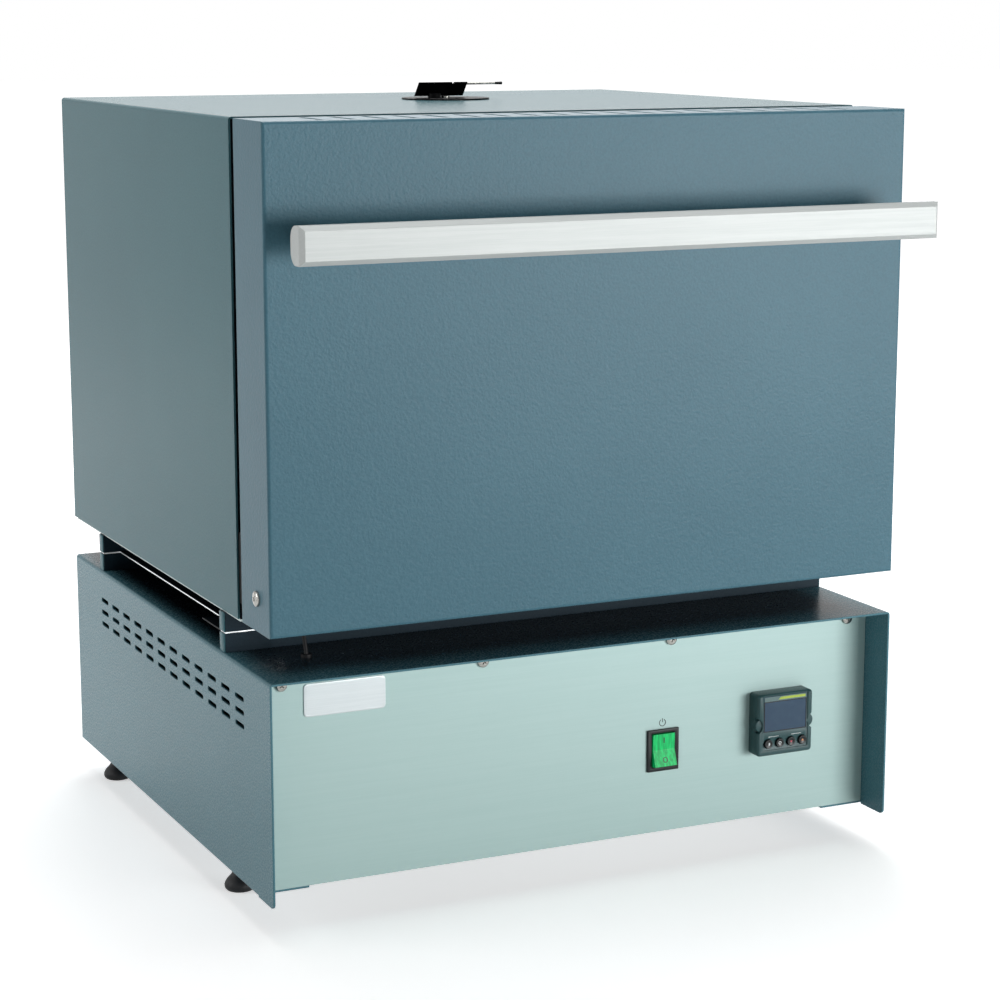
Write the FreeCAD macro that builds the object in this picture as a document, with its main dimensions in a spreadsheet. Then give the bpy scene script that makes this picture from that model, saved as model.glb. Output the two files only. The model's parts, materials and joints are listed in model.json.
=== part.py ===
import FreeCAD, Part
import math
import os
import re

import Sketcher

# Bench muffle furnace (small kiln), millimetres.
# X to the right, Y to the rear, Z up. The origin is on the floor, under the middle of the outer box.
# A wide base holds the controls. The insulated chamber cabinet stands on it on two pairs of
# cross channels with a heat shield between them, and a drop-down door covers its front.

SIZES = [
    # whole
    ("foot_height", 27.0, "floor to the underside of the base"),
    ("door_front", -210.0, "front face of the door, from the middle of the depth"),
    ("running_gap", 0.05, "radial clearance of a pin or screw that something turns on"),
    ("easy_gap", 0.3, "clearance of a loose fit"),
    ("joined", 1.0, "how far one form of a piece starts inside another"),
    # base
    ("base_setback", 2.0, "base front edge behind the door face"),
    ("base_overhang", 1.5, "base cover beyond each side of the cabinet"),
    ("base_back_inset", 6.5, "base rear edge in front of the cabinet rear edge"),
    ("base_height", 159.0, "over the base cover"),
    ("base_sheet", 1.5, "sheet of the base"),
    ("base_flange", 38.0, "bottom flange of the base cover, turned inwards"),
    ("wing_drop", 1.2, "how far the front wings hang below the flanges"),
    ("wing_corner", 4.0, "radius of the front lower corners"),
    ("panel_recess", 30.0, "control panel behind the front edge of the cover"),
    ("back_recess", 12.0, "rear panel inside the rear edge of the cover"),
    ("panel_sheet", 1.5, "control panel and rear panel"),
    ("rail_height", 20.0, "rail under the cover that takes the panel screws"),
    ("floor_flange", 15.0, "upturned edge of the base floor"),
    ("vent_length", 18.4, "side vent slot"),
    ("vent_height", 3.6, "side vent slot"),
    ("vent_columns", 12, "side vent slots in a row"),
    ("vent_rows", 3, "rows of side vents"),
    ("vent_last", 79.75, "last slot centre in front of the rear edge"),
    ("vent_row_pitch", 9.9, "between rows"),
    ("vent_first", 62.3, "first slot centre behind the front edge"),
    ("vent_drop", 43.5, "lowest row below the base top"),
    ("panel_screw_inset", 19.0, "end screws inside the base sides"),
    ("panel_screws", 4, "control panel screws"),
    ("panel_screw_drop", 9.5, "screw centres below the base top"),
    ("screw_gap", 0.15, "M4 screw in its clearance hole"),
    ("screw_shank", 4.0, "M4 screw"),
    ("screw_head", 8.7, "pan head diameter"),
    ("screw_head_height", 2.6, "pan head"),
    ("screw_reach", 9.0, "shank under the head"),
    # badge, switch, controller
    ("badge_width", 61.6, "blank plate"),
    ("badge_height", 23.8, "blank plate"),
    ("badge_sheet", 0.8, "blank plate"),
    ("badge_corner", 3.0, "blank plate"),
    ("badge_inset", 66.4, "plate centre from the left side"),
    ("badge_drop", 22.7, "plate centre below the base top"),
    ("switch_offset", 99.0, "switch centre left of the controller centre"),
    ("switch_drop", 11.5, "switch centre below the controller centre"),
    ("switch_width", 26.5, "switch frame"),
    ("switch_height", 32.3, "switch frame"),
    ("switch_proud", 2.0, "switch frame in front of the panel"),
    ("housing_depth", 22.0, "switch housing behind the panel"),
    ("housing_floor", 2.0, "switch housing"),
    ("switch_lip", 2.25, "frame beyond the housing at each side"),
    ("switch_end_lip", 2.15, "frame beyond the housing at each end"),
    ("housing_wall", 1.5, "switch housing, sides"),
    ("housing_end", 1.0, "switch housing, ends"),
    ("rocker_swing", 0.8, "room beyond each end of the rocker"),
    ("rocker_dip", 2.2, "middle of the rocker face in front of its pivot"),
    ("rocker_crest", 4.6, "ends of the rocker face in front of its pivot"),
    ("rocker_back", 3.0, "rocker behind its pivot"),
    ("rocker_sink", 1.6, "pivot behind the frame face"),
    ("rocker_tilt", 9.0, "degrees to each side"),
    ("rocker_pin", 2.4, "pivot pin diameter"),
    ("rocker_pin_reach", 1.2, "pivot pin beyond the rocker"),
    ("controller_inset", 80.2, "controller centre from the right side"),
    ("controller_level", 76.7, "controller centre above the underside"),
    ("controller_face", 48.0, "controller front, square"),
    ("controller_proud", 13.5, "controller in front of the panel"),
    ("controller_lip", 1.6, "controller front beyond its body"),
    ("controller_depth", 80.0, "controller body behind the panel"),
    ("controller_corner", 2.5, "front corners"),
    ("clip_round", 11.0, "diameter of the round clip at each side"),
    ("clip_proud", 1.3, "clip outside the case"),
    ("clip_depth", 5.0, "clip along the case"),
    ("screen_width", 37.4, "display window"),
    ("screen_height", 27.6, "display window with its header"),
    ("screen_level", 8.4, "window centre above the case centre"),
    ("screen_sheet", 1.2, "display window"),
    ("screen_sink", 0.6, "window behind the case face"),
    ("button_round", 6.6, "controller button"),
    ("button_pitch", 9.97, "controller buttons"),
    ("button_level", -14.4, "button centres from the case centre"),
    ("button_proud", 1.2, "button in front of the case"),
    ("button_depth", 3.4, "button inside the case"),
    ("button_travel", 0.8, "press"),
    # feet
    ("foot_round", 23.0, "widest diameter of a foot"),
    ("foot_sole", 19.4, "diameter on the floor"),
    ("foot_neck", 11.4, "diameter at the top"),
    ("foot_edge", 3.7, "height of the widest ring"),
    ("foot_shoulder", 12.5, "height where the cone meets the neck"),
    ("foot_inset", 18.0, "foot centres inside the base sides"),
    ("foot_front", 120.0, "front feet behind the base front edge"),
    ("foot_back", 41.0, "rear feet in front of the base rear edge"),
    ("foot_stud", 6.0, "stud that holds a foot"),
    ("foot_stud_reach", 10.0, "stud above the underside"),
    ("foot_nut", 10.0, "nut on a foot stud"),
    ("foot_nut_height", 5.0, "nut on a foot stud"),
    # electrics in the base
    ("sink_width", 110.0, "heat sink"),
    ("sink_depth", 90.0, "heat sink"),
    ("sink_plate", 6.0, "heat sink"),
    ("sink_fin", 2.2, "heat sink fin"),
    ("sink_fin_height", 28.0, "heat sink fin"),
    ("sink_fins", 9, "heat sink fins"),
    ("sink_place", -60.0, "heat sink, sideways"),
    ("sink_inset", 166.0, "heat sink centre in front of the base rear edge"),
    ("relay_width", 45.0, "solid state relay"),
    ("relay_depth", 58.0, "solid state relay"),
    ("relay_height", 24.0, "solid state relay"),
    ("relay_terminal", 9.0, "relay terminal screw head"),
    ("relay_terminal_height", 2.0, "relay terminal screw head"),
    ("strip_width", 84.0, "terminal block"),
    ("strip_depth", 24.0, "terminal block"),
    ("strip_height", 20.0, "terminal block"),
    ("strip_poles", 6, "terminal block"),
    ("strip_pitch", 13.0, "terminal block"),
    ("strip_bore", 6.0, "terminal block"),
    ("strip_place", 90.0, "terminal block, sideways"),
    ("strip_inset", 81.0, "terminal block centre in front of the base rear edge"),
    ("gland_inset", 60.0, "cord gland from the right side"),
    ("gland_level", 40.0, "cord gland above the underside"),
    ("gland_bore", 9.0, "hole for the supply cord"),
    ("gland_thread", 19.8, "gland thread diameter"),
    ("gland_nut", 26.0, "gland nut diameter"),
    ("gland_nut_height", 6.0, "gland nut"),
    ("gland_dome", 22.0, "gland dome diameter"),
    ("gland_dome_height", 10.0, "gland dome"),
    ("gland_inside", 12.0, "gland inside the rear panel"),
    # cross channels and heat shield
    ("riser_height", 14.0, "lower cross channels"),
    ("bearer_height", 14.5, "upper cross channels"),
    ("channel_depth", 10.0, "cross channels, front to rear"),
    ("channel_inset", 1.0, "channel ends inside the cabinet sides"),
    ("channel_sheet", 1.5, "cross channels"),
    ("channel_front_inset", 30.5, "front channels behind the cabinet front"),
    ("channel_back_inset", 69.5, "rear channels in front of the cabinet rear"),
    ("shield_sheet", 1.0, "heat shield"),
    ("shield_inset", 13.5, "heat shield edge between the channels"),
    ("shield_tab", 50.5, "full-width front stretch of the heat shield"),
    ("bolt_inset", 67.5, "channel bolts from the channel ends"),
    ("bolt_shank", 5.8, "channel bolt"),
    ("bolt_head", 10.0, "channel bolt"),
    ("bolt_head_height", 4.0, "channel bolt"),
    ("bolt_nut", 10.0, "nut of a channel bolt"),
    ("bolt_nut_height", 4.8, "nut of a channel bolt"),
    ("bolt_end", 2.0, "channel bolt above its nut"),
    ("bolt_recess", 16.0, "recess in the insulation over a nut"),
    ("bolt_recess_height", 10.0, "recess in the insulation over a nut"),
    # chamber cabinet
    ("cabinet_width", 497.0, "over the wrapper"),
    ("cabinet_depth", 406.5, "over the wrapper"),
    ("cabinet_height", 347.0, "over the wrapper"),
    ("cabinet_sheet", 1.5, "sheet of the cabinet"),
    ("cabinet_bend", 2.5, "outer radius of the sheet bends"),
    ("pan_drop", 2.0, "floor pan below the wrapper edge"),
    ("pan_flange", 12.0, "upturned edges of the floor pan"),
    ("rear_recess", 3.0, "cabinet rear panel inside the wrapper edge"),
    ("rear_flange", 12.0, "wrapper flange behind the rear panel edge"),
    ("rear_screw_inset", 7.0, "rear screws from the inside of the wrapper"),
    ("rear_screw_rows", 3, "rear screws on each side"),
    ("rear_screw_margin", 33.5, "end rear screws from the cabinet edges"),
    ("base_screw_inset", 25.0, "screws of the base rear panel"),
    ("base_screw_level", 8.0, "screws above the floor of the base"),
    ("pack_gap", 2.0, "insulation to each side sheet"),
    ("pack_back_space", 30.0, "behind the insulation"),
    ("hearth_pack", 80.0, "floor insulation"),
    ("side_pack", 83.5, "side insulation"),
    ("roof_pack", 79.5, "roof insulation"),
    ("back_pack", 80.0, "rear insulation"),
    ("roof_gap", 0.5, "roof insulation below the wrapper"),
    ("mouth_margin", 6.0, "front frame opening beyond the chamber"),
    ("hearth_side_gap", 11.5, "hearth plate to each side of the chamber"),
    ("hearth_back_gap", 9.0, "hearth plate to the back of the chamber"),
    ("hearth_sheet", 12.0, "hearth plate"),
    ("hearth_edge", 1.5, "chamfer of the hearth plate"),
    ("hearth_setback", 24.0, "hearth plate behind the chamber front"),
    ("element_round", 10.0, "outer diameter of the element coil"),
    ("element_turns", 3, "hairpins of coil on each side wall"),
    ("element_margin", 23.0, "end coil runs from the chamber floor and roof"),
    ("element_back", 19.0, "coil in front of the chamber back"),
    ("element_front", 26.0, "coil behind the chamber front"),
    ("element_tail", 4.0, "straight end diameter"),
    ("element_tail_reach", 12.0, "straight ends behind the insulation"),
    ("probe_round", 6.0, "thermocouple sheath"),
    ("probe_reach", 35.0, "thermocouple in the chamber"),
    ("probe_head_round", 22.0, "thermocouple head"),
    ("probe_head_length", 20.0, "thermocouple head"),
    ("probe_level", 110.0, "thermocouple above the chamber floor"),
    ("rear_vents", 9, "slots in the cabinet rear panel"),
    ("rear_vent_rise", 100.0, "rows of slots above and below the middle"),
    ("rear_vent_pitch", 30.0, "slots in the cabinet rear panel"),
    ("rear_vent_length", 60.0, "slots in the cabinet rear panel"),
    ("rear_vent_width", 5.0, "slots in the cabinet rear panel"),
    # flue and damper
    ("flue_back", 242.0, "flue centre behind the cabinet front"),
    ("flue_bore", 12.0, "flue"),
    ("flue_outside", 15.8, "flue tube"),
    ("flue_block", 80.0, "square block around the flue"),
    ("flue_gap", 0.2, "flue tube in the cabinet top"),
    ("damper_offset", 20.0, "damper pivot beside the flue"),
    ("damper_round", 70.0, "damper disc"),
    ("damper_sheet", 1.2, "damper disc"),
    ("port_bore", 16.0, "port in the damper disc"),
    ("pivot_shank", 4.9, "damper pivot screw"),
    ("pivot_head", 7.0, "damper pivot screw"),
    ("pivot_head_height", 1.2, "damper pivot screw"),
    ("pivot_reach", 6.0, "damper pivot screw below the cabinet top"),
    ("grip_width", 42.0, "damper grip plate"),
    ("grip_height", 14.8, "damper grip plate along its slope"),
    ("grip_sheet", 1.2, "damper grip plate"),
    ("grip_lean", 41.0, "degrees from upright"),
    ("grip_level", 6.8, "middle of the grip plate above the disc"),
    ("grip_notch", 2.0, "notch in the upper edge"),
    ("grip_notch_place", 5.0, "notch from the damper pivot, sideways"),
    ("grip_post", 10.4, "post under the grip"),
    ("grip_post_height", 3.4, "post under the grip"),
    ("grip_post_place", -9.6, "post from the damper pivot, sideways"),
    ("grip_place", -3.6, "grip plate centre from the damper pivot, sideways"),
    ("lever_round", 1.8, "damper lever wire"),
    ("lever_reach", 31.0, "lever beyond the grip plate"),
    # door
    ("door_gap", 12.0, "door rear edge to cabinet front"),
    ("door_lift", 2.5, "door bottom above the floor pan"),
    ("door_overhang", 1.0, "door beyond each side of the cabinet"),
    ("door_top_gap", 0.5, "door top below the cabinet top"),
    ("door_depth", 56.0, "over the door pan"),
    ("door_sheet", 1.5, "sheet of the door"),
    ("door_bend", 2.0, "outer radius of the door bends"),
    ("door_relief", 6.0, "notch in the liner and the bottom flange for each hinge plate"),
    ("door_relief_height", 66.0, "liner notch"),
    ("door_vent_back", 27.5, "slots behind the door face"),
    ("door_vents", 19, "slots in the top of the door"),
    ("door_vent_inset", 45.2, "end slots from the door sides"),
    ("door_vent_width", 4.6, "slots in the top of the door"),
    ("door_vent_length", 40.0, "slots in the top of the door"),
    ("liner_sheet", 2.5, "sheet of the door liner, heavy so that the door stays shut"),
    ("liner_flange", 14.0, "flanges of the door liner"),
    ("block_side_lip", 20.0, "block beyond the seat at each side"),
    ("block_end_lip", 14.0, "block beyond the seat above and below"),
    ("block_air", 12.0, "air space behind the door face"),
    ("pad_width", 40.0, "pads that keep the block off the door face"),
    ("seat_side_margin", 38.5, "door seat beyond the chamber at each side"),
    ("seat_end_margin", 38.0, "door seat beyond the chamber above and below"),
    ("plug_clearance", 6.5, "plug inside the chamber mouth, all round"),
    ("plug_reach", 15.0, "plug behind the sealing face"),
    ("gasket_sheet", 2.0, "gasket"),
    ("gasket_width", 24.0, "gasket"),
    ("pivot_back", 24.8, "door pivot behind the door face"),
    ("pivot_up", 23.3, "door pivot above the door bottom"),
    ("hinge_shank", 6.0, "door pivot screw"),
    ("hinge_head", 9.6, "door pivot screw"),
    ("hinge_head_height", 2.2, "door pivot screw"),
    ("hinge_nut", 11.0, "nut of the door pivot screw"),
    ("hinge_nut_height", 5.0, "nut of the door pivot screw"),
    ("hinge_plate", 2.5, "hinge plate thickness"),
    ("hinge_side_gap", 0.8, "hinge plate inside the door flange"),
    ("hinge_nose", 12.0, "hinge plate in front of and below the pivot"),
    ("hinge_round", 11.0, "front corners of the hinge plate"),
    ("hinge_rise", 38.0, "hinge plate above the pivot"),
    ("hinge_foot", 22.0, "hinge foot on the cabinet front"),
    ("stop_radius", 26.0, "stop pin from the pivot"),
    ("stop_round", 6.0, "stop pin"),
    ("stop_start", 5.0, "stop pin above level with the door shut, degrees"),
    ("stop_gap", 0.1, "stop pin in its slot"),
    ("door_opening", 90.0, "degrees"),
    # door handle
    ("bar_inset", 5.0, "bar ends inside the door sides"),
    ("bar_height", 26.0, "handle bar"),
    ("bar_depth", 18.0, "handle bar"),
    ("bar_chamfer", 3.2, "front edges and ends"),
    ("bar_back_round", 9.0, "radius of the rear edges"),
    ("bar_front_wall", 2.5, "in front of the hollow"),
    ("bar_hollow_depth", 9.5, "hollow inside the bar"),
    ("bar_hollow_height", 20.0, "hollow inside the bar"),
    ("bar_end", 5.0, "solid ends of the bar"),
    ("bar_stand", 54.5, "front of the bar from the door face"),
    ("bar_drop", 77.0, "bar centre below the door top"),
    ("post_inset", 20.9, "posts from the bar ends"),
    ("post_round", 12.0, "post"),
    ("post_stud", 6.0, "stud through the door face"),
    ("post_stud_reach", 7.0, "stud behind the door face"),
    ("post_nut", 10.8, "nut of a post"),
    ("post_nut_height", 5.0, "nut of a post"),
    ("post_socket", 4.0, "post inside the bar"),
    # door switch
    ("door_switch_inset", 36.5, "door switch from the left side"),
    ("door_switch_level", 95.0, "door switch above the floor pan"),
    ("switch_box_width", 30.0, "door switch"),
    ("switch_box_depth", 20.0, "door switch"),
    ("switch_box_height", 16.0, "door switch"),
    ("plunger_round", 6.0, "door switch plunger"),
    ("plunger_tail", 8.0, "plunger inside the switch"),
    ("plunger_travel", 4.0, "plunger"),
    ("lead_round", 3.0, "sleeve of the switch lead"),
    ("lead_offset", 12.0, "lead to the right of the door switch"),
    ("lead_back", 4.5, "switch lead behind the cabinet front"),
    ("lead_lean", 9.5, "foot of the lead in front of its upper run"),
    ("grommet_round", 8.0, "grommet of the switch lead"),
    ("grommet_height", 2.5, "grommet of the switch lead"),
    ("lead_below", 16.0, "switch lead inside the base"),
    ("lead_gap", 1.0, "lead in its holes"),
]

# Sizes that follow others.
TIED = {
    "base_width": "(cabinet_width + 2 * base_overhang)",
    "base_depth": "(door_depth + door_gap + cabinet_depth - base_setback - base_back_inset)",
    "door_width": "(cabinet_width + 2 * door_overhang)",
    "door_height": "(cabinet_height + pan_drop - door_lift - door_top_gap)",
    "channel_width": "(cabinet_width - 2 * channel_inset)",
    "channel_front": "(door_depth + door_gap + channel_front_inset - base_setback)",
    "channel_spread": "(cabinet_depth - channel_front_inset - channel_back_inset - channel_depth)",
    "bolt_place": "(channel_width / 2 - bolt_inset)",
    "foot_place": "(base_width / 2 - foot_inset)",
    "foot_spread": "(base_depth - foot_front - foot_back)",
    "vent_pitch": "((base_depth - vent_first - vent_last) / (vent_columns - 1))",
    "vent_low": "(base_height - vent_drop)",
    "panel_screw_pitch": "((base_width - 2 * panel_screw_inset) / (panel_screws - 1))",
    "base_screw_pitch": "((base_width - 2 * base_screw_inset) / 3)",
    "badge_place": "(badge_inset - base_width / 2)",
    "badge_level": "(base_height - badge_drop)",
    "controller_place": "(base_width / 2 - controller_inset)",
    "switch_place": "(controller_place - switch_offset)",
    "switch_level": "(controller_level - switch_drop)",
    "housing_width": "(switch_width - 2 * switch_lip)",
    "housing_height": "(switch_height - 2 * switch_end_lip)",
    "rocker_width": "(housing_width - 2 * housing_wall - 2 * easy_gap)",
    "rocker_height": "(housing_height - 2 * housing_end - 2 * rocker_swing)",
    "controller_body": "(controller_face - 2 * controller_lip)",
    "gland_place": "(base_width / 2 - gland_inset)",
    "sink_back": "(base_depth - sink_inset)",
    "strip_back": "(base_depth - strip_inset)",
    "pack_width": "(cabinet_width - 2 * cabinet_sheet - 2 * pack_gap)",
    "pack_depth": "(cabinet_depth - cabinet_sheet - pack_back_space)",
    "chamber_width": "(pack_width - 2 * side_pack)",
    "chamber_height": "(cabinet_height + pan_drop - 2 * cabinet_sheet - roof_gap - hearth_pack - roof_pack)",
    "chamber_depth": "(pack_depth - back_pack)",
    "hearth_width": "(chamber_width - 2 * hearth_side_gap)",
    "hearth_depth": "(chamber_depth - hearth_setback - hearth_back_gap)",
    "element_pitch": "((chamber_height - 2 * element_margin) / (2 * element_turns - 1))",
    "element_length": "(chamber_depth - element_front - element_back)",
    "rear_screw_pitch": "((cabinet_height - 2 * rear_screw_margin) / (rear_screw_rows - 1))",
    "seat_width": "(chamber_width + 2 * seat_side_margin)",
    "seat_height": "(chamber_height + 2 * seat_end_margin)",
    "block_width": "(seat_width + 2 * block_side_lip)",
    "block_height": "(seat_height + 2 * block_end_lip)",
    "door_vent_pitch": "((door_width - 2 * door_vent_inset) / (door_vents - 1))",
    "bar_length": "(door_width - 2 * bar_inset)",
    "bar_level": "(door_height - bar_drop)",
    "post_place": "(bar_length / 2 - post_inset)",
    "door_switch_place": "(door_switch_inset - cabinet_width / 2)",
    "lead_place": "(door_switch_place + lead_offset)",
    "flue_hole": "(flue_outside + 2 * flue_gap)",
    "screw_bore": "(screw_shank + 2 * screw_gap)",
    "bolt_bore": "(bolt_shank + 2 * easy_gap)",
    "lead_hole": "(lead_round + 2 * lead_gap)",
}

NAMES = {name for name, value, note in SIZES}

# Datum levels and planes that several pieces share.
BASE_FRONT = "(door_front + base_setback)"
BASE_REAR = f"({BASE_FRONT} + base_depth)"
BASE_TOP = "(foot_height + base_height)"
PANEL_FACE = f"({BASE_FRONT} + panel_recess)"
SHIELD_LOW = f"({BASE_TOP} + riser_height)"
BEARER_LOW = f"({SHIELD_LOW} + shield_sheet)"
PAN_LOW = f"({BEARER_LOW} + bearer_height)"
PAN_TOP = f"({PAN_LOW} + cabinet_sheet)"
CABINET_LOW = f"({PAN_LOW} + pan_drop)"
CABINET_TOP = f"({CABINET_LOW} + cabinet_height)"
CABINET_FRONT = "(door_front + door_depth + door_gap)"
CABINET_REAR = f"({CABINET_FRONT} + cabinet_depth)"
PACK_FRONT = f"({CABINET_FRONT} + cabinet_sheet)"
CHAMBER_LOW = f"({PAN_TOP} + hearth_pack)"
CHAMBER_MID = f"({CHAMBER_LOW} + chamber_height / 2)"
CHAMBER_TOP = f"({CHAMBER_LOW} + chamber_height)"
DOOR_LOW = f"({PAN_LOW} + door_lift)"
DOOR_REAR = "(door_front + door_depth)"
SEAL_FACE = f"({CABINET_FRONT} - gasket_sheet)"
PIVOT_BACK = "(door_front + pivot_back)"
PIVOT_LEVEL = f"({DOOR_LOW} + pivot_up)"
DAMPER_BACK = f"({CABINET_FRONT} + flue_back)"

PLANES = {"X": "YZ_Plane", "Y": "XZ_Plane", "Z": "XY_Plane"}

doc = FreeCAD.newDocument("MuffleFurnace")
parts = []


def fillSheet():
    sheet = doc.addObject("Spreadsheet::Sheet", "Sizes")
    for row, (name, value, note) in enumerate(SIZES, start=1):
        sheet.set(f"A{row}", note)
        sheet.set(f"B{row}", str(value))
        sheet.setAlias(f"B{row}", name)
    doc.recompute()


def inFull(word):
    name = word.group()
    if name in TIED:
        return withSheet(TIED[name])
    return f"Sizes.{name}" if name in NAMES else name


def withSheet(formula):
    # The formula with each name replaced by its cell, or by the formula that it follows.
    return re.sub(r"[a-z]\w+", inFull, formula)


def bind(thing, target, formula):
    thing.setExpression(target, withSheet(str(formula)))


def newBody(label, at):
    body = doc.addObject("PartDesign::Body", label)
    body.Label = label
    body.AllowCompound = True
    for axis, formula in zip("xyz", at):
        bind(body, f"Placement.Base.{axis}", formula)
    parts.append(body)
    return body


def originPlane(body, role):
    return next(item for item in body.Origin.OriginFeatures if item.Role == role)


def newSketch(body, facing, centre):
    # A sketch on the body's own origin plane that faces along X, Y or Z, moved to centre.
    item = body.newObject("Sketcher::SketchObject", "Sketch")
    item.AttachmentSupport = [(originPlane(body, PLANES[facing]), "")]
    item.MapMode = "FlatFace"
    along, up, out = {
        "X": (centre[1], centre[2], centre[0]),
        "Y": (centre[0], centre[2], f"-({centre[1]})"),
        "Z": centre,
    }[facing]
    bind(item, "AttachmentOffset.Base.x", along)
    bind(item, "AttachmentOffset.Base.y", up)
    bind(item, "AttachmentOffset.Base.z", out)
    return item


def outline(item, points):
    # A closed outline through points given as pairs of formulas.
    count = len(points)
    spots = []
    for index in range(count):
        turn = FreeCAD.Rotation(FreeCAD.Vector(0, 0, 1), 360.0 * index / count)
        spots.append(turn.multVec(FreeCAD.Vector(20, 0, 0)))
    for index in range(count):
        item.addGeometry(Part.LineSegment(spots[index], spots[(index + 1) % count]), False)
    for index in range(count):
        item.addConstraint(Sketcher.Constraint("Coincident", index, 2, (index + 1) % count, 1))
    for index, (across, up) in enumerate(points):
        for kind, axis, formula in (("DistanceX", -2, across), ("DistanceY", -1, up)):
            if formula == "0":
                item.addConstraint(Sketcher.Constraint("PointOnObject", index, 1, axis))
            else:
                number = item.addConstraint(Sketcher.Constraint(kind, -1, 1, index, 1, 5.0))
                bind(item, f"Constraints[{number}]", formula)


def rectangle(item, width, height):
    right, top = f"({width}) / 2", f"({height}) / 2"
    left, low = f"-({width}) / 2", f"-({height}) / 2"
    outline(item, [(left, low), (right, low), (right, top), (left, top)])


def circle(item, diameter):
    item.addGeometry(Part.Circle(FreeCAD.Vector(0, 0, 0), FreeCAD.Vector(0, 0, 1), 5.0), False)
    item.addConstraint(Sketcher.Constraint("Coincident", 0, 3, -1, 1))
    number = item.addConstraint(Sketcher.Constraint("Diameter", 0, 10.0))
    bind(item, f"Constraints[{number}]", diameter)


def slot(item, length, width):
    # A slot with round ends along the sketch's first axis.
    up = FreeCAD.Vector(0, 0, 1)
    right = Part.Circle(FreeCAD.Vector(6, 0, 0), up, 2.0)
    left = Part.Circle(FreeCAD.Vector(-6, 0, 0), up, 2.0)
    quarter = math.pi / 2
    item.addGeometry(Part.ArcOfCircle(right, -quarter, quarter), False)
    item.addGeometry(Part.LineSegment(FreeCAD.Vector(6, 2, 0), FreeCAD.Vector(-6, 2, 0)), False)
    item.addGeometry(Part.ArcOfCircle(left, quarter, 3 * quarter), False)
    item.addGeometry(Part.LineSegment(FreeCAD.Vector(-6, -2, 0), FreeCAD.Vector(6, -2, 0)), False)
    for first, end, second, start in ((0, 2, 1, 1), (1, 2, 2, 1), (2, 2, 3, 1), (3, 2, 0, 1)):
        item.addConstraint(Sketcher.Constraint("Tangent", first, end, second, start))
    item.addConstraint(Sketcher.Constraint("PointOnObject", 0, 3, -1))
    item.addConstraint(Sketcher.Constraint("Equal", 0, 2))
    item.addConstraint(Sketcher.Constraint("Symmetric", 0, 3, 2, 3, -1, 1))
    radius = item.addConstraint(Sketcher.Constraint("Radius", 0, 2.0))
    span = item.addConstraint(Sketcher.Constraint("DistanceX", 2, 3, 0, 3, 12.0))
    bind(item, f"Constraints[{radius}]", f"({width}) / 2")
    bind(item, f"Constraints[{span}]", f"({length}) - ({width})")


def extrude(body, kind, item, length):
    # A pad or a pocket to both sides of its sketch.
    feature = body.newObject(f"PartDesign::{kind}", kind)
    feature.Profile = item
    feature.SideType = "Symmetric"
    bind(feature, "Length", length)
    item.Visibility = False
    body.Tip = feature
    return feature


def turnShape(body, kind, item):
    # A revolution or a groove about the sketch's upright axis.
    feature = body.newObject(f"PartDesign::{kind}", kind)
    feature.Profile = item
    feature.ReferenceAxis = (item, ["V_Axis"])
    feature.Angle = 360.0
    body.Tip = feature
    return feature


def addBlock(body, centre, size, facing="Z", kind="Pad"):
    item = newSketch(body, facing, centre)
    width, height, length = {
        "X": (size[1], size[2], size[0]),
        "Y": (size[0], size[2], size[1]),
        "Z": size,
    }[facing]
    rectangle(item, width, height)
    return extrude(body, kind, item, length)


def cutBlock(body, centre, size, facing="Z"):
    return addBlock(body, centre, size, facing, "Pocket")


def addDisc(body, centre, diameter, length, facing="Z", kind="Pad"):
    item = newSketch(body, facing, centre)
    circle(item, diameter)
    return extrude(body, kind, item, length)


def cutDisc(body, centre, diameter, length, facing="Z"):
    return addDisc(body, centre, diameter, length, facing, "Pocket")


def cutSlot(body, centre, length, width, depth, facing):
    item = newSketch(body, facing, centre)
    slot(item, length, width)
    return extrude(body, "Pocket", item, depth)


def addTurned(body, centre, points, kind="Revolution"):
    # points are radius and height above centre, turned about an upright axis.
    item = newSketch(body, "Y", centre)
    outline(item, points)
    return turnShape(body, kind, item)


def newRow(body, axis, count, pitch):
    pattern = body.newObject("PartDesign::LinearPattern", "LinearPattern")
    pattern.Direction = (originPlane(body, f"{axis}_Axis"), [""])
    pattern.Mode = "Spacing"
    bind(pattern, "Occurrences", count)
    bind(pattern, "Offset", pitch)
    return pattern


def repeat(body, features, axis, count, pitch):
    # A row of features along one origin axis.
    pattern = newRow(body, axis, count, pitch)
    pattern.Originals = features
    body.Tip = pattern
    return pattern


def repeatGrid(body, features, axis, count, pitch, axis2, count2, pitch2):
    # Rows and columns of features along two origin axes.
    grid = body.newObject("PartDesign::MultiTransform", "MultiTransform")
    grid.Originals = features
    grid.Transformations = [newRow(body, axis, count, pitch), newRow(body, axis2, count2, pitch2)]
    body.Tip = grid
    return grid


def mirror(body, features, facing):
    # The same features again on the other side of the body's own plane.
    copy = body.newObject("PartDesign::Mirrored", "Mirrored")
    copy.Originals = features
    copy.MirrorPlane = (originPlane(body, PLANES[facing]), [""])
    body.Tip = copy
    return copy


def dress(body, kind, size, wanted):
    # A fillet or a chamfer on the edges that wanted picks in the body's own axes.
    doc.recompute()
    base = body.Tip
    chosen = []
    for number, edge in enumerate(base.Shape.Edges, start=1):
        if wanted(edge):
            chosen.append(f"Edge{number}")
    feature = body.newObject(f"PartDesign::{kind}", kind)
    feature.Base = (base, chosen)
    bind(feature, "Radius" if kind == "Fillet" else "Size", size)
    body.Tip = feature
    return feature


def size(name):
    return float(getattr(doc.Sizes, name))


def runsAlong(edge, axis):
    # True where a straight edge is parallel to an axis.
    if edge.Curve.TypeId != "Part::GeomLine":
        return False
    low, high = edge.BoundBox, edge.Length
    return abs({"X": low.XLength, "Y": low.YLength, "Z": low.ZLength}[axis] - high) < 1e-6


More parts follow.
